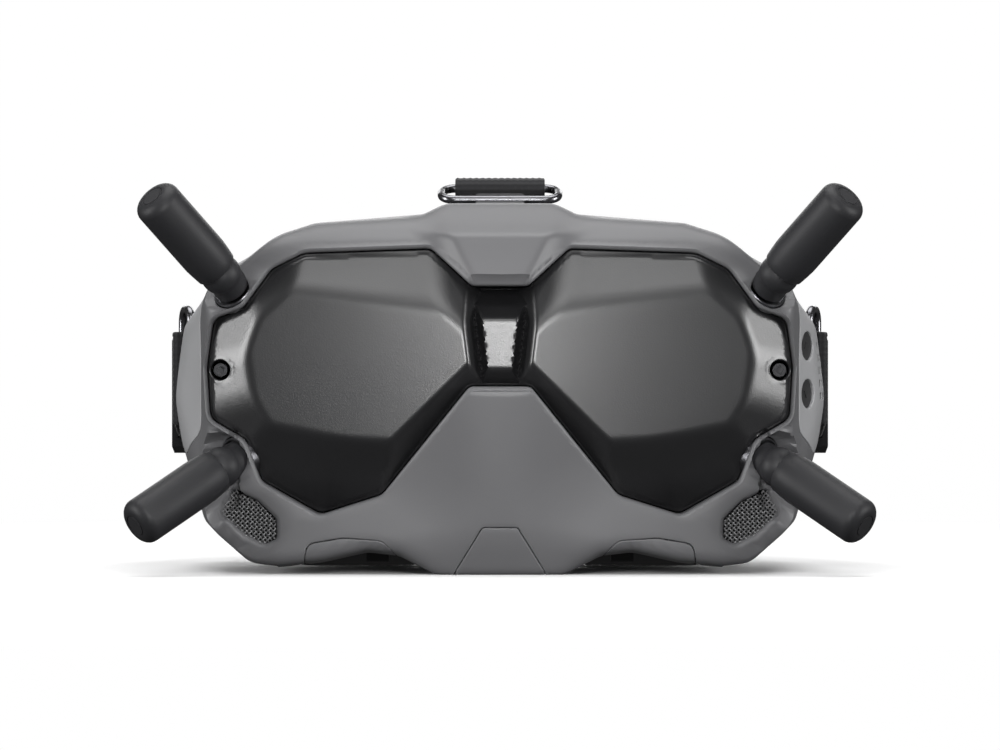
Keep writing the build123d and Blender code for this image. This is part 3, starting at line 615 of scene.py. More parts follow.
def moulded(name, colour, roughness, grain=0.00028, depth=0.00002, mottle=0.08, spread=0.05, wear=0.0,
            **settings):
    """A satin or metal finish with fine grain, a little unevenness and worn edges."""
    finish = Finish(name, **settings)
    broad = finish.texture("Noise", Scale=45.0, Detail=4.0).outputs["Fac"]
    fine = finish.texture("Noise", Scale=1.0 / grain, Detail=2.0).outputs["Fac"]
    dull, bright = (tuple(min(1, c * k) for c in colour) for k in (1 - mottle, 1 + mottle))
    tint = finish.mixed(broad, dull, bright)
    if wear:
        edge = finish.nodes.new("ShaderNodeNewGeometry").outputs["Pointiness"]
        amount = finish.ranged(edge, From_Min=0.53, From_Max=0.62, To_Max=wear)
        tint = finish.mixed(amount, tint, tuple(min(1, c * 1.9 + 0.03) for c in colour))
    finish.feed(tint, "Base Color")
    low, high = max(0.02, roughness - spread), min(1.0, roughness + spread)
    finish.feed(finish.ranged(broad, To_Min=low, To_Max=high), "Roughness")
    finish.bumped(fine, depth, 0.6)
    return finish.material


def webbing(name, colour, light, thread=0.0013):
    """Elastic webbing: threads across the ribs that the mesh already has, with a soft sheen."""
    finish = Finish(name, Roughness=0.85, Sheen_Weight=0.15, Sheen_Roughness=0.45)
    flat = finish.nodes.new("ShaderNodeUVMap")
    flat.uv_map = "lay"
    cross = finish.add("TexWave", flat.outputs["UV"], "Vector", Scale=2 * math.pi / (20 * thread),
                       Distortion=0.4, Detail=1.0)
    fuzz = finish.texture("Noise", Scale=2600.0)
    height = finish.add("Math", fuzz.outputs["Fac"], 0)
    height.operation = "MULTIPLY_ADD"
    height.inputs[1].default_value = 0.4
    finish.links.new(cross.outputs["Fac"], height.inputs[2])
    finish.feed(finish.mixed(height.outputs["Value"], colour, light), "Base Color")
    finish.bumped(height.outputs["Value"], 0.00012)
    return finish.material


def knit(name, colour, light):
    """The foam pad's brushed knit cover."""
    finish = Finish(name, Roughness=0.95, Sheen_Weight=0.5, Sheen_Roughness=0.5)
    cells = finish.texture("Voronoi", Scale=1100.0)
    fuzz = finish.texture("Noise", Scale=320.0, Detail=6.0)
    finish.feed(finish.mixed(fuzz.outputs["Fac"], colour, light), "Base Color")
    finish.bumped(cells.outputs["Distance"], 0.0003)
    return finish.material


def glass(name):
    finish = Finish(name, Base_Color=(0.93, 0.95, 1.0, 1), Transmission_Weight=1.0, IOR=1.5)
    smear = finish.texture("Noise", Scale=60.0)
    finish.feed(finish.ranged(smear.outputs["Fac"], To_Min=0.01, To_Max=0.05), "Roughness")
    return finish.material


LOOKS = {
    "shell": moulded("shell_grey", (0.120, 0.120, 0.125), 0.47, wear=0.12, depth=0.00003),
    "side_cover": moulded("side_grey", (0.330, 0.332, 0.340), 0.44, wear=0.12, depth=0.00003),
    "mask": moulded("mask_black", (0.012, 0.012, 0.013), 0.33, grain=0.0004, depth=0.00004, spread=0.02,
                    wear=0.05, Specular_IOR_Level=0.8),
    "rear": moulded("rear_grey", (0.060, 0.060, 0.064), 0.55, wear=0.10, depth=0.00003),
    "hood": moulded("hood_black", (0.022, 0.022, 0.024), 0.75, depth=0.00003),
    "foam": knit("pad_knit", (0.010, 0.010, 0.011), (0.035, 0.035, 0.038)),
    "mast": moulded("mast_charcoal", (0.019, 0.019, 0.021), 0.52, wear=0.12, depth=0.00003,
                    Specular_IOR_Level=0.32),
    "dark_metal": moulded("dark_metal", (0.16, 0.16, 0.17), 0.32, Metallic=1.0, grain=0.0005, wear=0.2),
    "loop_metal": moulded("black_chrome", (0.17, 0.17, 0.18), 0.27, Metallic=1.0, grain=0.0008, spread=0.04),
    "strap": webbing("elastic_black", (0.004, 0.004, 0.005), (0.014, 0.014, 0.016)),
    "mesh": moulded("mesh_wire", (0.27, 0.27, 0.275), 0.40, Metallic=0.7, grain=0.0003),
    "board": moulded("board_green", (0.010, 0.060, 0.028), 0.45, grain=0.0008),
    "heat_sink": moulded("heat_sink_grey", (0.45, 0.45, 0.46), 0.38, Metallic=1.0, grain=0.0006),
    "fan": moulded("fan_black", (0.020, 0.020, 0.021), 0.42),
    "lens": glass("eyepiece_glass"),
    "display": moulded("display_black", (0.004, 0.004, 0.006), 0.12, mottle=0.02),
    "control": moulded("control_black", (0.018, 0.018, 0.019), 0.40, wear=0.2),
    "lamp": moulded("lamp_smoke", (0.09, 0.09, 0.095), 0.25),
}
# Near-black for sheets that stand in for painted shade: where the mast's slot would be, and behind the
# vents' weave.
SHADE_BLACK = moulded("painted_shade_black", (0.004, 0.004, 0.004), 0.8)
SCREW = moulded("screw_black", (0.035, 0.035, 0.037), 0.38, Metallic=1.0, grain=0.0005)
THREAD = moulded("stitch_thread", (0.030, 0.030, 0.032), 0.6, grain=0.0002, Sheen_Weight=0.3)

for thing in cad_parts.values():
    for entry in thing.material_slots:
        entry.material = LOOKS[entry.material.name.split(".")[0]]
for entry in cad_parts["mask_screws"].material_slots:
    entry.material = SCREW

# -------- housing curves
BOSS_HOLE_R = 6.35


def flipped(curve):
    return curve * MIRROR


def boss_circle(name):
    centre, axis, _ = ANTENNAS[name]
    return centre + BOSS_HOLE_R * around(axis, 48)


HATCH = [(-4.9, 13.2), (-12.6, 0.6), (-12.6, -3), (12.6, -3), (12.6, 0.6), (4.9, 13.2)]
TRIM = [(-55.5, -2), (-54, 8.5), (-44, 10.2), (-33, 9.4), (-22, -2)]
AIR_MESH = [(-75.5, 24), (-68, 20.5), (-62.8, 15.5), (-62.6, 10), (-66, 8.4), (-72, 10.4), (-79, 17.2)]
SIDE = [(22.3, 77), (22.3, 40), (34, 33), (51, 38), (51, 75), (38, 82)]


def front_curve(outline, step=0.8):
    """An outline drawn as seen from the front, on the housing."""
    return cast(resampled(outline, step), 1, 1)


def side_curve(outline, sign, step=0.8):
    """An outline drawn as seen from the side, (y, z), on the housing's left (-1) or right (1)."""
    return cast(resampled(outline, step), 0, -sign)


def roof_curve(outline, step=0.5):
    return cast(resampled(outline, step), 2, -1)


def under_curve(outline, step=0.5):
    return cast(resampled(outline, step), 2, 1)


# -------- housing panels
FORWARD = (0.0, 1.0, 0.0)

hatch_curve = front_curve(rounded(HATCH, 0.6))
trim_curve = front_curve(rounded(TRIM, [1, 3, 8, 4, 1]))
air_flat = rounded(AIR_MESH, [1.5, 1.5, 1.5, 1.5, 2, 2, 2])
air_curve = front_curve(air_flat)
opening = front_curve(mask_outline)
side_left = side_curve(rounded(SIDE, 6), -1)
side_right = flipped(side_left)
seam = band_at(SPLIT_Y)
rear_edge = band_at(HOUSING_BACK - 0.4)

sockets = [boss_circle(n) for n in ANTENNAS]
sockets += [flipped(c) for c in sockets]
front_cuts = [lip(opening, 0.0, 1.1, 12.0, FORWARD)]
front_cuts += [lip(c, 0.0, 0.5, 3.2) for c in sockets]
front_cuts += [lip(c, 0.0, 1.5, 3.4) for c in (air_curve, flipped(air_curve))]
sides = [lip(side_left, depth=0.8), lip(side_right, depth=0.8)]
chin = [lip(hatch_curve), lip(trim_curve), lip(flipped(trim_curve))]
panel("main_shell_skin", lip(seam), [*front_cuts, *sides, *chin], "shell", 0.95, replaced=["main_shell"])
panel("nose_hatch_skin", lip(seam), [], "shell", 1.2, lip(hatch_curve), ["nose_hatch"])
panel("left_trim_skin", lip(seam), [], "shell", 1.2, lip(trim_curve), ["bottom_trims"])
panel("right_trim_skin", lip(seam), [], "shell", 1.2, lip(flipped(trim_curve)), ["bottom_trims"])

CHANNEL_HEIGHTS, CHANNEL_Y = (50.5, 64.0), 27.8
BUTTON_HOLE_R = 4.15
FLANK_TURN = math.cos(math.atan(0.5))
EYE_Z = 57.0
DISPLAY_ROWS, DISPLAY_PITCH, DISPLAY_Y = 5, 3.6, (36.5, 39.5, 42.5)
button_holes = [
    side_curve(circle((0, 0), BUTTON_HOLE_R) * [FLANK_TURN, 1] + [CHANNEL_Y, z], 1, 0.5)
    for z in CHANNEL_HEIGHTS
]
windows = [
    side_curve(rectangle((y, EYE_Z + DISPLAY_PITCH * (row - (DISPLAY_ROWS - 1) / 2)), 1.5, 2.1), 1, 0.35)
    for row in range(DISPLAY_ROWS) for y in DISPLAY_Y
]
right_cuts = [lip(c, 0.0, 0.3, 1.6) for c in button_holes] + [lip(c, 0.0, 0.12, 1.2) for c in windows]
panel("left_side_cover_skin", lip(side_left), [], "side_cover", replaced=["left_side_cover"])
panel("right_side_cover_skin", lip(side_right), right_cuts, "side_cover", 1.0, replaced=["right_side_cover"])

FAN_Y, FAN_SLOT_PITCH = 50.0, 3.2
roof_cuts = [roof_curve(slot_outline((0, FAN_Y + FAN_SLOT_PITCH * i), 18, 1.8)) for i in range(-2, 3)]
ROOF_HOLES = [((-50, 54), 7.7), ((-31.5, 54), 4.15), ((-19.5, 54), 3.15)]
UNDER_HOLES = [((-65, 57), 3.7), ((-54.5, 58), 2.8), ((42.5, 59), 1.8)]
roof_cuts += [roof_curve(circle(c, r)) for c, r in ROOF_HOLES]
under_cuts = [under_curve(slot_outline((x, 50), 11, 4)) for x in (-35, 35)]
under_cuts += [under_curve(circle(c, r)) for c, r in UNDER_HOLES]
under_cuts += [under_curve(rectangle((54, 58), 9.4, 3.6)), under_curve(rectangle((65.5, 56.5), 2.4, 12.4))]
rear_cuts = [lip(seam)] + sides + [lip(c, 0.0, 0.25, 1.9) for c in roof_cuts + under_cuts]
panel("rear_shell_skin", lip(rear_edge, 0.0, 0.8, 2.6), rear_cuts, "rear", 1.1, replaced=["rear_shell"])

# -------- front mask
LOBE = [
    (-58.4, 80.2), (-34.8, 77.6), (-16.4, 74.8), (-9.8, 68.6), (-8.6, 58.9), (-30.8, 37.2), (-44.2, 37.8),
    (-64.6, 41.9), (-69.2, 49.3), (-71.1, 61.8), (-67.4, 72.2),
]
BEVEL_FOOT = [
    (-64, 12, 91), (-41, 9, 93), (-16, 8, 93), (-6.2, 9.6, 80), (-6.0, 9.6, 55), (-24, 12, 29),
    (-50, 21, 13), (-70, 22, 23), (-85, 19.5, 27), (-86, 19.5, 60), (-79, 16.5, 76),
]
MASK_FLOOR = 22.0
CREASE = 1.1
BRIDGE_Y, BRIDGE_HALF, BRIDGE_Z = 4.4, (3.5, 5.0), (57.4, 71.4)
MASK_SCREW = (78.3, 13.2, 57.2)
EDGE_SINK, EDGE_RUN = 0.7, 2.1


def lobe_front(x):
    return 2.0 + 0.09 * (np.abs(x) - 8.0)


def mask_depth(x, z):
    """Depth of the mask's face: two flat eye lobes with bevelled sides, and the bridge between."""
    q = np.abs(x)
    depth = lobe_front(q)
    corners = [np.array([-a, lobe_front(a), b]) for a, b in LOBE]
    feet = [np.array((-a, b, c), float) for a, b, c in BEVEL_FOOT]
    for i, corner in enumerate(corners):
        following = corners[(i + 1) % len(corners)]
        foot = (feet[i] + feet[(i + 1) % len(feet)]) / 2
        n = np.cross(following - corner, foot - corner)
        side = corner[1] - (n[0] * (q - corner[0]) + n[2] * (z - corner[2])) / n[1]
        depth = smooth_max(depth, side, CREASE)
    low, high = BRIDGE_Z
    half = np.interp(z, BRIDGE_Z, BRIDGE_HALF)
    bridge = BRIDGE_Y + 2.4 * np.maximum(q - half, 0)
    bridge = smooth_max(bridge, BRIDGE_Y + 1.1 * (z - high), 0.5)
    bridge = smooth_max(bridge, BRIDGE_Y + 1.0 * (low - z), 0.5)
    depth = smooth_min(smooth_min(depth, bridge, 0.5), np.full_like(depth, MASK_FLOOR), 3.0)
    flat = np.stack([x, z], axis=1)
    housing = cast(flat, 1, 1)[:, 1]
    run = distance(flat, mask_outline)
    sink = EDGE_SINK - 2.0 * np.maximum(run - 0.7, 0) - 2.5 * np.maximum(run - EDGE_RUN, 0)
    return smooth_max(depth, housing + sink, 0.6)


def on_mask(flat):
    return np.stack([flat[:, 0], mask_depth(flat[:, 0], flat[:, 1]), flat[:, 1]], axis=1)


mask_loop = resampled(mask_outline, 0.8)
screw_loops = [circle((s * MASK_SCREW[0], MASK_SCREW[2]), 2.75, 40) for s in (-1, 1)]
flat, faces = filled(mask_loop, screw_loops, 0.75, [1.4, 1.0, 1.0])
mask_points = on_mask(flat)
if corner_normals(mask_points, faces)[:, 1].mean() > 0:
    faces = faces[:, ::-1]
mask_lips = [lip(on_mask(mask_loop), 0.3, 0.5, 4.0, FORWARD)]
mask_lips += [lip(on_mask(c), 0.0, 0.45, 2.6, FORWARD) for c in screw_loops]
mask_points, faces = with_lips(mask_points, faces, mask_lips)
make_piece("front_mask_skin", mask_points, faces, LOOKS["mask"], "housing", "mask", replaced=["front_mask"])

# -------- antennas
HINGE = 7.4                 # from the boss face to the fold pin
BALL_R, SOCKET_ROOM = 5.75, 0.2
MAST_FOOT_ANGLE = 68.0      # the mast reaches down over the ball as far as this
MAST_R, MAST_TIP, TIP_R = 6.7, 39.5, 3.1


def antenna_parts(level, side):
    centre, axis, mast = (v * SIDES[side] for v in ANTENNAS[level])
    name = f"{level}_{side}"
    foot = centre + axis * HINGE - mast * HINGE
    ring = [(5.5, -1.8), (5.5, 0.45), (5.7, 0.7), (6.0, 0.7), (6.22, 0.45), (6.22, -1.8)]
    metal = LOOKS["dark_metal"]
    make_piece(f"{name}_base_ring", *lathed(ring, centre, axis), metal, "housing", "dark_metal")
    ball = [(0.0, 1.0), (5.0, 1.0), (5.15, 1.15), *arc((0, HINGE), BALL_R, -28, 90, 22)]
    make_piece(f"{name}_swivel_ball", *lathed(ball, centre, axis), LOOKS["mast"], f"{name}_base", "mast",
               replaced=[f"{name}_knuckle", f"{name}_fold_pin"])
    skin = list(arc((0, HINGE), BALL_R + SOCKET_ROOM, 90, 90 - MAST_FOOT_ANGLE, 12))
    edge_r, edge_z = skin[-1]
    skin += [(edge_r + 0.45, edge_z), (edge_r + 0.62, edge_z + 0.2), (6.45, 12.5), (MAST_R - 0.02, 15.0)]
    skin += [(MAST_R, 17.0), (MAST_R, 30.0), *arc((MAST_R - TIP_R, MAST_TIP - TIP_R), TIP_R, 0, 90, 9)]
    skin += [(3.3, MAST_TIP), (3.2, MAST_TIP - 0.2), (3.0, MAST_TIP - 0.2), (2.9, MAST_TIP), (0.0, MAST_TIP)]
    make_piece(f"{name}_mast_skin", *lathed(skin, foot, mast), LOOKS["mast"], f"{name}_mast", "mast",
               replaced=[f"{name}_mast"])
    # A black patch laid on the mast's surface near its tip: painted shade where a slot would be.
    x, y, z = axes_of(mast)
    turns = np.radians(np.linspace(-9, 9, 7)) + (math.pi * 0.78 if side == "left" else math.pi * 0.22)
    heights = np.linspace(MAST_TIP - 7.0, MAST_TIP - 4.6, 5)
    round_mast = [(MAST_R + 0.05) * (math.cos(t) * x + math.sin(t) * y) for t in turns]
    slot = [foot + z * h + across for h in heights for across in round_mast]
    make_piece(f"{name}_tip_slot_shade", np.array(slot), grid_faces(len(heights), len(turns)), SHADE_BLACK,
               f"{name}_mast", "mast")


for level in ANTENNAS:
    for side in SIDES:
        antenna_parts(level, side)

# -------- loop saddles
SIDE_FRONT, TOP_FRONT, LOOP_Z = (-89.2, 57.8), (60.0, 106.4), 56.4


def saddle(name, across, centre, wide, half, sign):
    """A moulded hook that holds a loop's front bar against the housing from behind."""
    wide, across = np.array(wide, float), np.array(across, float)
    out = np.cross(wide, across)
    out *= np.sign(out @ (centre - MIDDLE))
    crown = arc((0, 0), 1, 75, -20, 8) * [2.3, 1.75] + [0.35, 0.2]
    shape = [(-3.2, -7.0), (-3.2, -1.5), (-2.4, -0.9), (-1.36, -0.5), *arc((0, 0), 1.36, 200, 395)]
    shape = np.array([*shape, *crown, (3.3, -3.0), (3.3, -7.0)])
    stations = [(-half, 0.72), (-half + 0.25, 0.9), (-half + 0.8, 1.0)]
    stations += [(-at, size) for at, size in stations[::-1]]
    middle = shape.mean(axis=0)
    points = []
    for at, size in stations:
        outline = middle + (shape - middle) * (0.5 + size / 2)
        flat = np.outer(outline[:, 0], across) + np.outer(outline[:, 1], out)
        points.append((centre + wide * at + flat) * sign)
    count = len(shape)
    faces = grid_faces(len(stations), count, closed_columns=True)
    faces += [tuple(range(count))[::-1], tuple(range((len(stations) - 1) * count, len(stations) * count))]
    make_piece(name, np.vstack(points), faces, LOOKS["rear"], "housing", "rear", replaced=["loop_clips"])


saddle("top_loop_saddle", (0, 1, 0), np.array([0.0, *TOP_FRONT]), (1, 0, 0), 7.0, np.ones(3))
for side, sign in SIDES.items():
    saddle(f"{side}_loop_saddle", (0, 1, 0), np.array([*SIDE_FRONT, LOOP_Z]), (0, 0, 1), 6.0, sign)

# -------- woven meshes
WIRE_PITCH, WIRE_RADIUS, WIRE_SINK = 0.95, 0.21, 1.7
WEAVE_TURN = math.radians(40)


def tube(line, radius, sides=6):
    """A round wire along points, as (points, quads)."""
    along = np.gradient(line, axis=0)
    along /= np.linalg.norm(along, axis=1)[:, None]
    x = np.cross(along, [0.0, 0.0, 1.0])
    x /= np.maximum(np.linalg.norm(x, axis=1), 1e-9)[:, None]
    y = np.cross(along, x)
    rings = []
    for a in np.linspace(0, 2 * math.pi, sides, endpoint=False):
        rings.append(line + radius * (math.cos(a) * x + math.sin(a) * y))
    points = np.stack(rings, axis=1).reshape(-1, 3)
    return points, grid_faces(len(line), sides, closed_columns=True)


def joined(parts):
    points, faces, count = [], [], 0
    for p, f in parts:
        points.append(p)
        faces += [tuple(i + count for i in face) for face in f]
        count += len(p)
    return np.vstack(points), faces


air_middle = (air_flat.min(axis=0) + air_flat.max(axis=0)) / 2
warp = np.array([math.cos(WEAVE_TURN), math.sin(WEAVE_TURN)])
weft = np.array([-warp[1], warp[0]])
wires = []
for turn, (along, across) in enumerate(((warp, weft), (weft, warp))):
    for k in range(-16, 17):
        run = np.arange(-15, 15, WIRE_PITCH / 4)
        line = air_middle + np.outer(run, along) + across * (k * WIRE_PITCH)
        keep = inside(line, air_flat)
        if keep.sum() < 6:
            continue
        first, last = np.flatnonzero(keep)[[0, -1]]
        line, run = line[first:last + 1], run[first:last + 1]
        points = cast(line, 1, 1)
        weave = np.cos(math.pi * (run / WIRE_PITCH + k + turn))
        points[:, 1] += WIRE_SINK + 0.2 * weave
        wires.append(tube(points, WIRE_RADIUS))
weave_points, weave_faces = joined(wires)
# A black sheet just behind the weave: painted shade for the inside of the vent.
shade_sheet_flat, shade_sheet_faces = filled(resampled(air_flat, 0.8), [], 1.2, [0.6])
shade_sheet_points = cast(shade_sheet_flat, 1, 1) + [0, WIRE_SINK + 0.9, 0]
for side, sign in SIDES.items():
    order = int(sign[0])
    faces = [f[::order] for f in weave_faces]
    make_piece(f"{side}_air_mesh_weave", weave_points * sign, faces, LOOKS["mesh"], "housing", "mesh",
               replaced=["air_meshes"])
    faces = [tuple(f)[::order] for f in shade_sheet_faces]
    make_piece(f"{side}_air_mesh_shade_sheet", shade_sheet_points * sign, faces, SHADE_BLACK, "housing", "mesh")

# -------- straps
STRAP_T, RIB_PITCH = 1.6, 0.95
BAND_Z = (54.9, 13.5)
BAND_HALF, TOP_HALF = 13.4, 13.0
WRAP_R = 2.35               # middle of the strap round a loop's bar
HEAD_LINE = [(-94.2, 68), (-93.6, 90), (-88, 122), (-70, 156), (-38, 177), (0, 183)]
TOP_LINE = [(69.4, 112.35), (90, 111.5), (122, 102), (152, 82), (173, 56), (184.3, 30), (185.2, 8)]
SIDE_BAR, TOP_BAR = (-92.0, 67.4), (69.4, 110.0)
ADJUSTER_Y = 92.0


def flowing(points, step):
    """A smooth line through points, with points about one step apart."""
    points = np.asarray(points, float)
    padded = np.vstack([2 * points[0] - points[1], points, 2 * points[-1] - points[-2]])
    made = []
    for p0, p1, p2, p3 in zip(padded, padded[1:], padded[2:], padded[3:]):
        for t in np.linspace(0, 1, 16, endpoint=False):
            made.append(0.5 * (2 * p1 + (p2 - p0) * t + (2 * p0 - 5 * p1 + 4 * p2 - p3) * t * t
                               + (3 * p1 - p0 - 3 * p2 + p3) * t ** 3))
    made.append(points[-1])
    return resampled(np.array(made), step, closed=False)


def strap_piece(name, line, wide, outward, half, stitch_rows=()):
    """Ribbed elastic along a line. wide is the way across it and outward the way its face looks."""
    wide = np.array(wide, float)
    along = np.gradient(line, axis=0)
    along /= np.linalg.norm(along, axis=1)[:, None]
    out = np.cross(along, wide) * outward
    out /= np.linalg.norm(out, axis=1)[:, None]
    run = np.r_[0, np.cumsum(np.linalg.norm(np.diff(line, axis=0), axis=1))]
    u = np.linspace(-half + 0.35, half - 0.35, int(2 * half / RIB_PITCH) * 3 + 1)
    rib = STRAP_T / 2 - 0.11 + 0.11 * np.cos(2 * math.pi * u / RIB_PITCH)
    section = [(-half, 0.0), (-half + 0.08, 0.45), *zip(u, rib), (half - 0.08, 0.45), (half, 0.0)]
    section += [(half - 0.08, -0.45), *zip(u[::-2], -rib[::-2]), (-half + 0.08, -0.45)]
    section = np.array(section)
    points = line[:, None] + section[None, :, :1] * wide + section[None, :, 1:] * out[:, None]
    points = points.reshape(-1, 3)
    count = len(section)
    faces = grid_faces(len(line), count, closed_columns=True)
    faces += [tuple(range(count)), tuple(range((len(line) - 1) * count, len(line) * count))[::-1]]
    uv = np.stack([np.repeat(run, count), np.tile(section[:, 0], len(line))], axis=1) / 1000
    bars = []
    for place_at in stitch_rows:
        i = int(np.argmin(np.abs(run - place_at)))
        for across in np.arange(-half + 1.6, half - 1.4, 1.9):
            middle = line[i] + wide * across + out[i] * (STRAP_T / 2 + 0.02)
            ends = np.linspace(-0.62, 0.62, 5)
            rise = 0.12 * np.cos(ends / 0.62 * math.pi / 2)
            bars.append(tube(middle + np.outer(ends, wide) + np.outer(rise, out[i]), 0.17))
    stitch_count = 0
    if bars:
        bar_points, bar_faces = joined(bars)
        faces += [tuple(k + len(points) for k in f) for f in bar_faces]
        stitch_count = len(bar_faces)
        uv = np.vstack([uv, np.zeros((len(bar_points), 2))])
        points = np.vstack([points, bar_points])
    piece = make_piece(name, points, faces, LOOKS["strap"], None, "strap", sharp=60)
    mesh = piece.data
    mesh.materials.append(THREAD)
    layer = mesh.uv_layers.new(name="lay")
    for loop in mesh.loops:
        layer.data[loop.index].uv = uv[loop.vertex_index]
    for face in list(mesh.polygons)[len(mesh.polygons) - stitch_count:]:
        face.material_index = 1
    return piece


def band_height(y):
    return BAND_Z[0] + (BAND_Z[1] - BAND_Z[0]) * ease((np.asarray(y, float) - 66) / (180 - 66))


def raised(flat_line):
    """A line seen from above, at the height of the headband."""
    return np.stack([flat_line[:, 0], flat_line[:, 1], band_height(flat_line[:, 1])], axis=1)


tail = flowing([(-91.95, 88), (-91.5, 80), (-90.2, 72.5), (-89.65, 67.4)], 1.0)
turn_round = arc(SIDE_BAR, WRAP_R, 0, -180)
outer_run = flowing([(-94.35, 67.4), *HEAD_LINE[1:], *[(-x, y) for x, y in HEAD_LINE[-2::-1]]], 1.1)
cut = int(np.argmin(np.abs(outer_run[:len(outer_run) // 2, 1] - ADJUSTER_Y)))
left_line = raised(np.vstack([tail, turn_round[1:-1], outer_run[:cut + 1]]))
stitch_from = len(tail) * 1.0 + math.pi * WRAP_R
stitch_places = (stitch_from + 13.0, stitch_from + 16.0)
for side, sign in SIDES.items():
    line = left_line * sign
    piece = strap_piece(f"headband_{side}_end", line, (0, 0, 1), sign[0], BAND_HALF, stitch_places)
    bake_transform(piece)
middle_line = raised(outer_run[cut:len(outer_run) - cut])
headband = strap_piece("headband_middle", middle_line, (0, 0, 1), 1, BAND_HALF)
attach(headband, "housing")
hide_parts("headband")

top_tail = flowing([(87, 109.2), (79, 108.4), (73, 107.9), (69.4, 107.65)], 1.0)
top_turn = arc(TOP_BAR, WRAP_R, -90, -270)
top_flat = np.vstack([top_tail, top_turn[1:-1], flowing(TOP_LINE, 1.1)])
top_line = np.stack([np.zeros(len(top_flat)), top_flat[:, 0], top_flat[:, 1]], axis=1)
top_start = len(top_tail) * 1.0 + math.pi * WRAP_R
top_stitches = (top_start + 10.5, top_start + 14.0)
top_strap = strap_piece("top_strap_elastic", top_line, (1, 0, 0), 1, TOP_HALF, top_stitches)
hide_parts("top_strap")
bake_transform(top_strap)

# -------- foam pad
FOAM_OUTER = both([
    (-20, 96.5), (-58, 93), (-76, 80), (-80, 60), (-79, 42), (-73, 14), (-61, 0), (-23, 0), (-8.5, 33),
])
FOAM_INNER = both([
    (-18, 84), (-48, 82), (-60, 73), (-65, 57), (-64, 44), (-59, 22), (-46, 14), (-30, 17), (-11, 46),
])
FOAM_FRONT, FOAM_BACK = 86.0, 120.0
FACE_Y, FACE_RADIUS = 93.0, 118.0
EDGE_POWER = 3.4


def softened(outline, per_side=14, passes=60):
    """Corner points spread evenly along each side, with the corners relaxed."""
    outline = np.asarray(outline, float)
    made = []
    for a, b in zip(outline, np.roll(outline, -1, axis=0)):
        for t in np.arange(per_side) / per_side:
            made.append(a + (b - a) * t)
    made = np.array(made)
    for _ in range(passes):
        made = made * 0.5 + (np.roll(made, 1, axis=0) + np.roll(made, -1, axis=0)) * 0.25
    return made


def face_depth(x):
    """How far back the pad reaches, following a face that curves round."""
    curve = FACE_Y + FACE_RADIUS - np.sqrt(FACE_RADIUS ** 2 - x * x)
    return np.minimum(curve, FOAM_BACK) - 0.4


outer_loop, inner_loop = softened(FOAM_OUTER), softened(FOAM_INNER)
share = 0.5 - 0.5 * np.cos(np.linspace(0, math.pi, 22))
rings = []
for s in share:
    flat_ring = outer_loop + (inner_loop - outer_loop) * s
    rise = (1 - abs(2 * s - 1) ** EDGE_POWER) ** (1 / EDGE_POWER)
    swell = 0.5 * math.sin(math.pi * s)
    depth = FOAM_FRONT + (face_depth(flat_ring[:, 0]) - FOAM_FRONT) * rise + swell
    rings.append(np.stack([flat_ring[:, 0], depth, flat_ring[:, 1]], axis=1))
back_ring = [np.stack([r[:, 0], np.full(len(r), FOAM_FRONT), r[:, 2]], axis=1) for r in rings[::-3]]
foam_points = np.vstack(rings + back_ring)
foam_faces = grid_faces(len(rings) + len(back_ring), len(outer_loop), True, True)
foam = make_piece("face_foam_pad", foam_points, foam_faces, LOOKS["foam"], "housing", "foam", 60,
                  ["face_foam"])

# -------- camera, light and floor
CAMERA_Y = -1500.0          # millimetres
EYE_LEVEL = 55.8
LENS = 194.4

camera = in_scene("camera", bpy.data.cameras.new("camera"))
camera.data.lens = LENS
camera.data.sensor_width = 36.0
camera.data.clip_start = 0.01
camera.location = place((0, CAMERA_Y, EYE_LEVEL))
camera.rotation_euler = (math.radians(90), 0, 0)
bpy.context.scene.camera = camera


def softbox(name, where, aim, wide, tall, watts):
    """A rectangular light, in millimetres, that the camera doesn't see."""
    data = bpy.data.lights.new(name, "AREA")
    data.shape = "RECTANGLE"
    data.size, data.size_y = wide / 1000, tall / 1000
    data.energy = watts
    light = in_scene(name, data)
    light.location = place(where)
    direction = Vector(place(aim)) - light.location
    light.rotation_euler = direction.to_track_quat("-Z", "Y").to_euler()
    light.visible_camera = False


CHEST = (0, 40, 55)
softbox("centre_box", (0, -300, 88), (0, 0, 60), 90, 70, 0.62)
softbox("left_box", (-1140, -340, 190), CHEST, 300, 640, 10)
softbox("right_box", (1140, -340, 190), CHEST, 300, 640, 10)
softbox("high_box", (0, -870, 740), CHEST, 640, 200, 3.2)
softbox("top_box", (0, 180, 1350), CHEST, 1300, 900, 16)
softbox("back_box", (0, 1300, 620), CHEST, 1300, 600, 7)


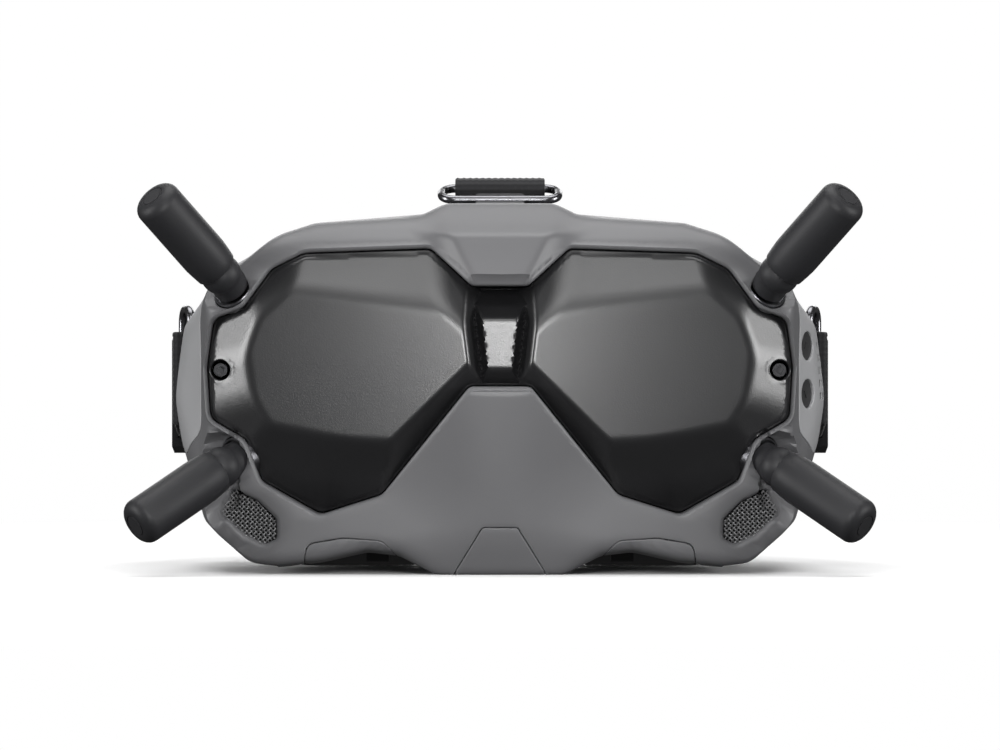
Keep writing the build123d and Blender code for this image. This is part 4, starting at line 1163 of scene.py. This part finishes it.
def floor_material():
    """Pale round the object and plain white further off."""
    finish = Finish("floor_white", Base_Color=(0.94, 0.94, 0.94, 1), Roughness=0.9)
    far = finish.add("VectorMath", finish.where, 0)
    far.operation = "LENGTH"
    spread = finish.add("MapRange", far.outputs["Value"], "Value", From_Min=0.16, From_Max=0.50)
    spread.interpolation_type = "SMOOTHSTEP"
    glow = finish.nodes.new("ShaderNodeEmission")
    mix = finish.add("MixShader", spread.outputs["Result"], "Fac")
    finish.links.new(finish.shader.outputs["BSDF"], mix.inputs[1])
    finish.links.new(glow.outputs["Emission"], mix.inputs[2])
    finish.links.new(mix.outputs["Shader"], finish.nodes["Material Output"].inputs["Surface"])
    return finish.material


def staged(name, points, faces, material):
    """A stretch of the studio, in metres."""
    mesh = bpy.data.meshes.new(name)
    mesh.from_pydata(points, [], faces)
    mesh.materials.append(material)
    piece = in_scene(name, mesh)
    return piece


ROOM_RADIUS = 9.0           # metres
FLOOR_SIDES = 96
DOME_ROWS, DOME_COLUMNS = 16, 48

floor_points = [(x, y, 0.0) for x, y in circle((0, 0), ROOM_RADIUS, FLOOR_SIDES)]
floor = staged("floor", floor_points, [tuple(range(FLOOR_SIDES))], floor_material())
floor.visible_glossy = False
floor.visible_diffuse = False

dome_points = []
for up in np.linspace(0, math.pi / 2, DOME_ROWS + 1):
    across, height = ROOM_RADIUS * math.cos(up), ROOM_RADIUS * math.sin(up)
    dome_points += [(x, y, height) for x, y in circle((0, 0), across, DOME_COLUMNS)]
dome_faces = grid_faces(DOME_ROWS + 1, DOME_COLUMNS, closed_columns=True)
white = Finish("backdrop_white", Base_Color=(0, 0, 0, 1), Roughness=0.9, Emission_Color=(1, 1, 1, 1),
               Emission_Strength=1.0)
backdrop = staged("backdrop", dome_points, dome_faces, white.material)
for ray in ("visible_diffuse", "visible_glossy", "visible_shadow", "visible_transmission"):
    setattr(backdrop, ray, False)

world = bpy.data.worlds.new("studio")
world.use_nodes = True
bpy.context.scene.world = world
sky = world.node_tree.nodes["Background"]
sky.inputs["Color"].default_value = (1, 1, 1, 1)
sky.inputs["Strength"].default_value = 0.08
bpy.context.scene.view_settings.view_transform = "Standard"
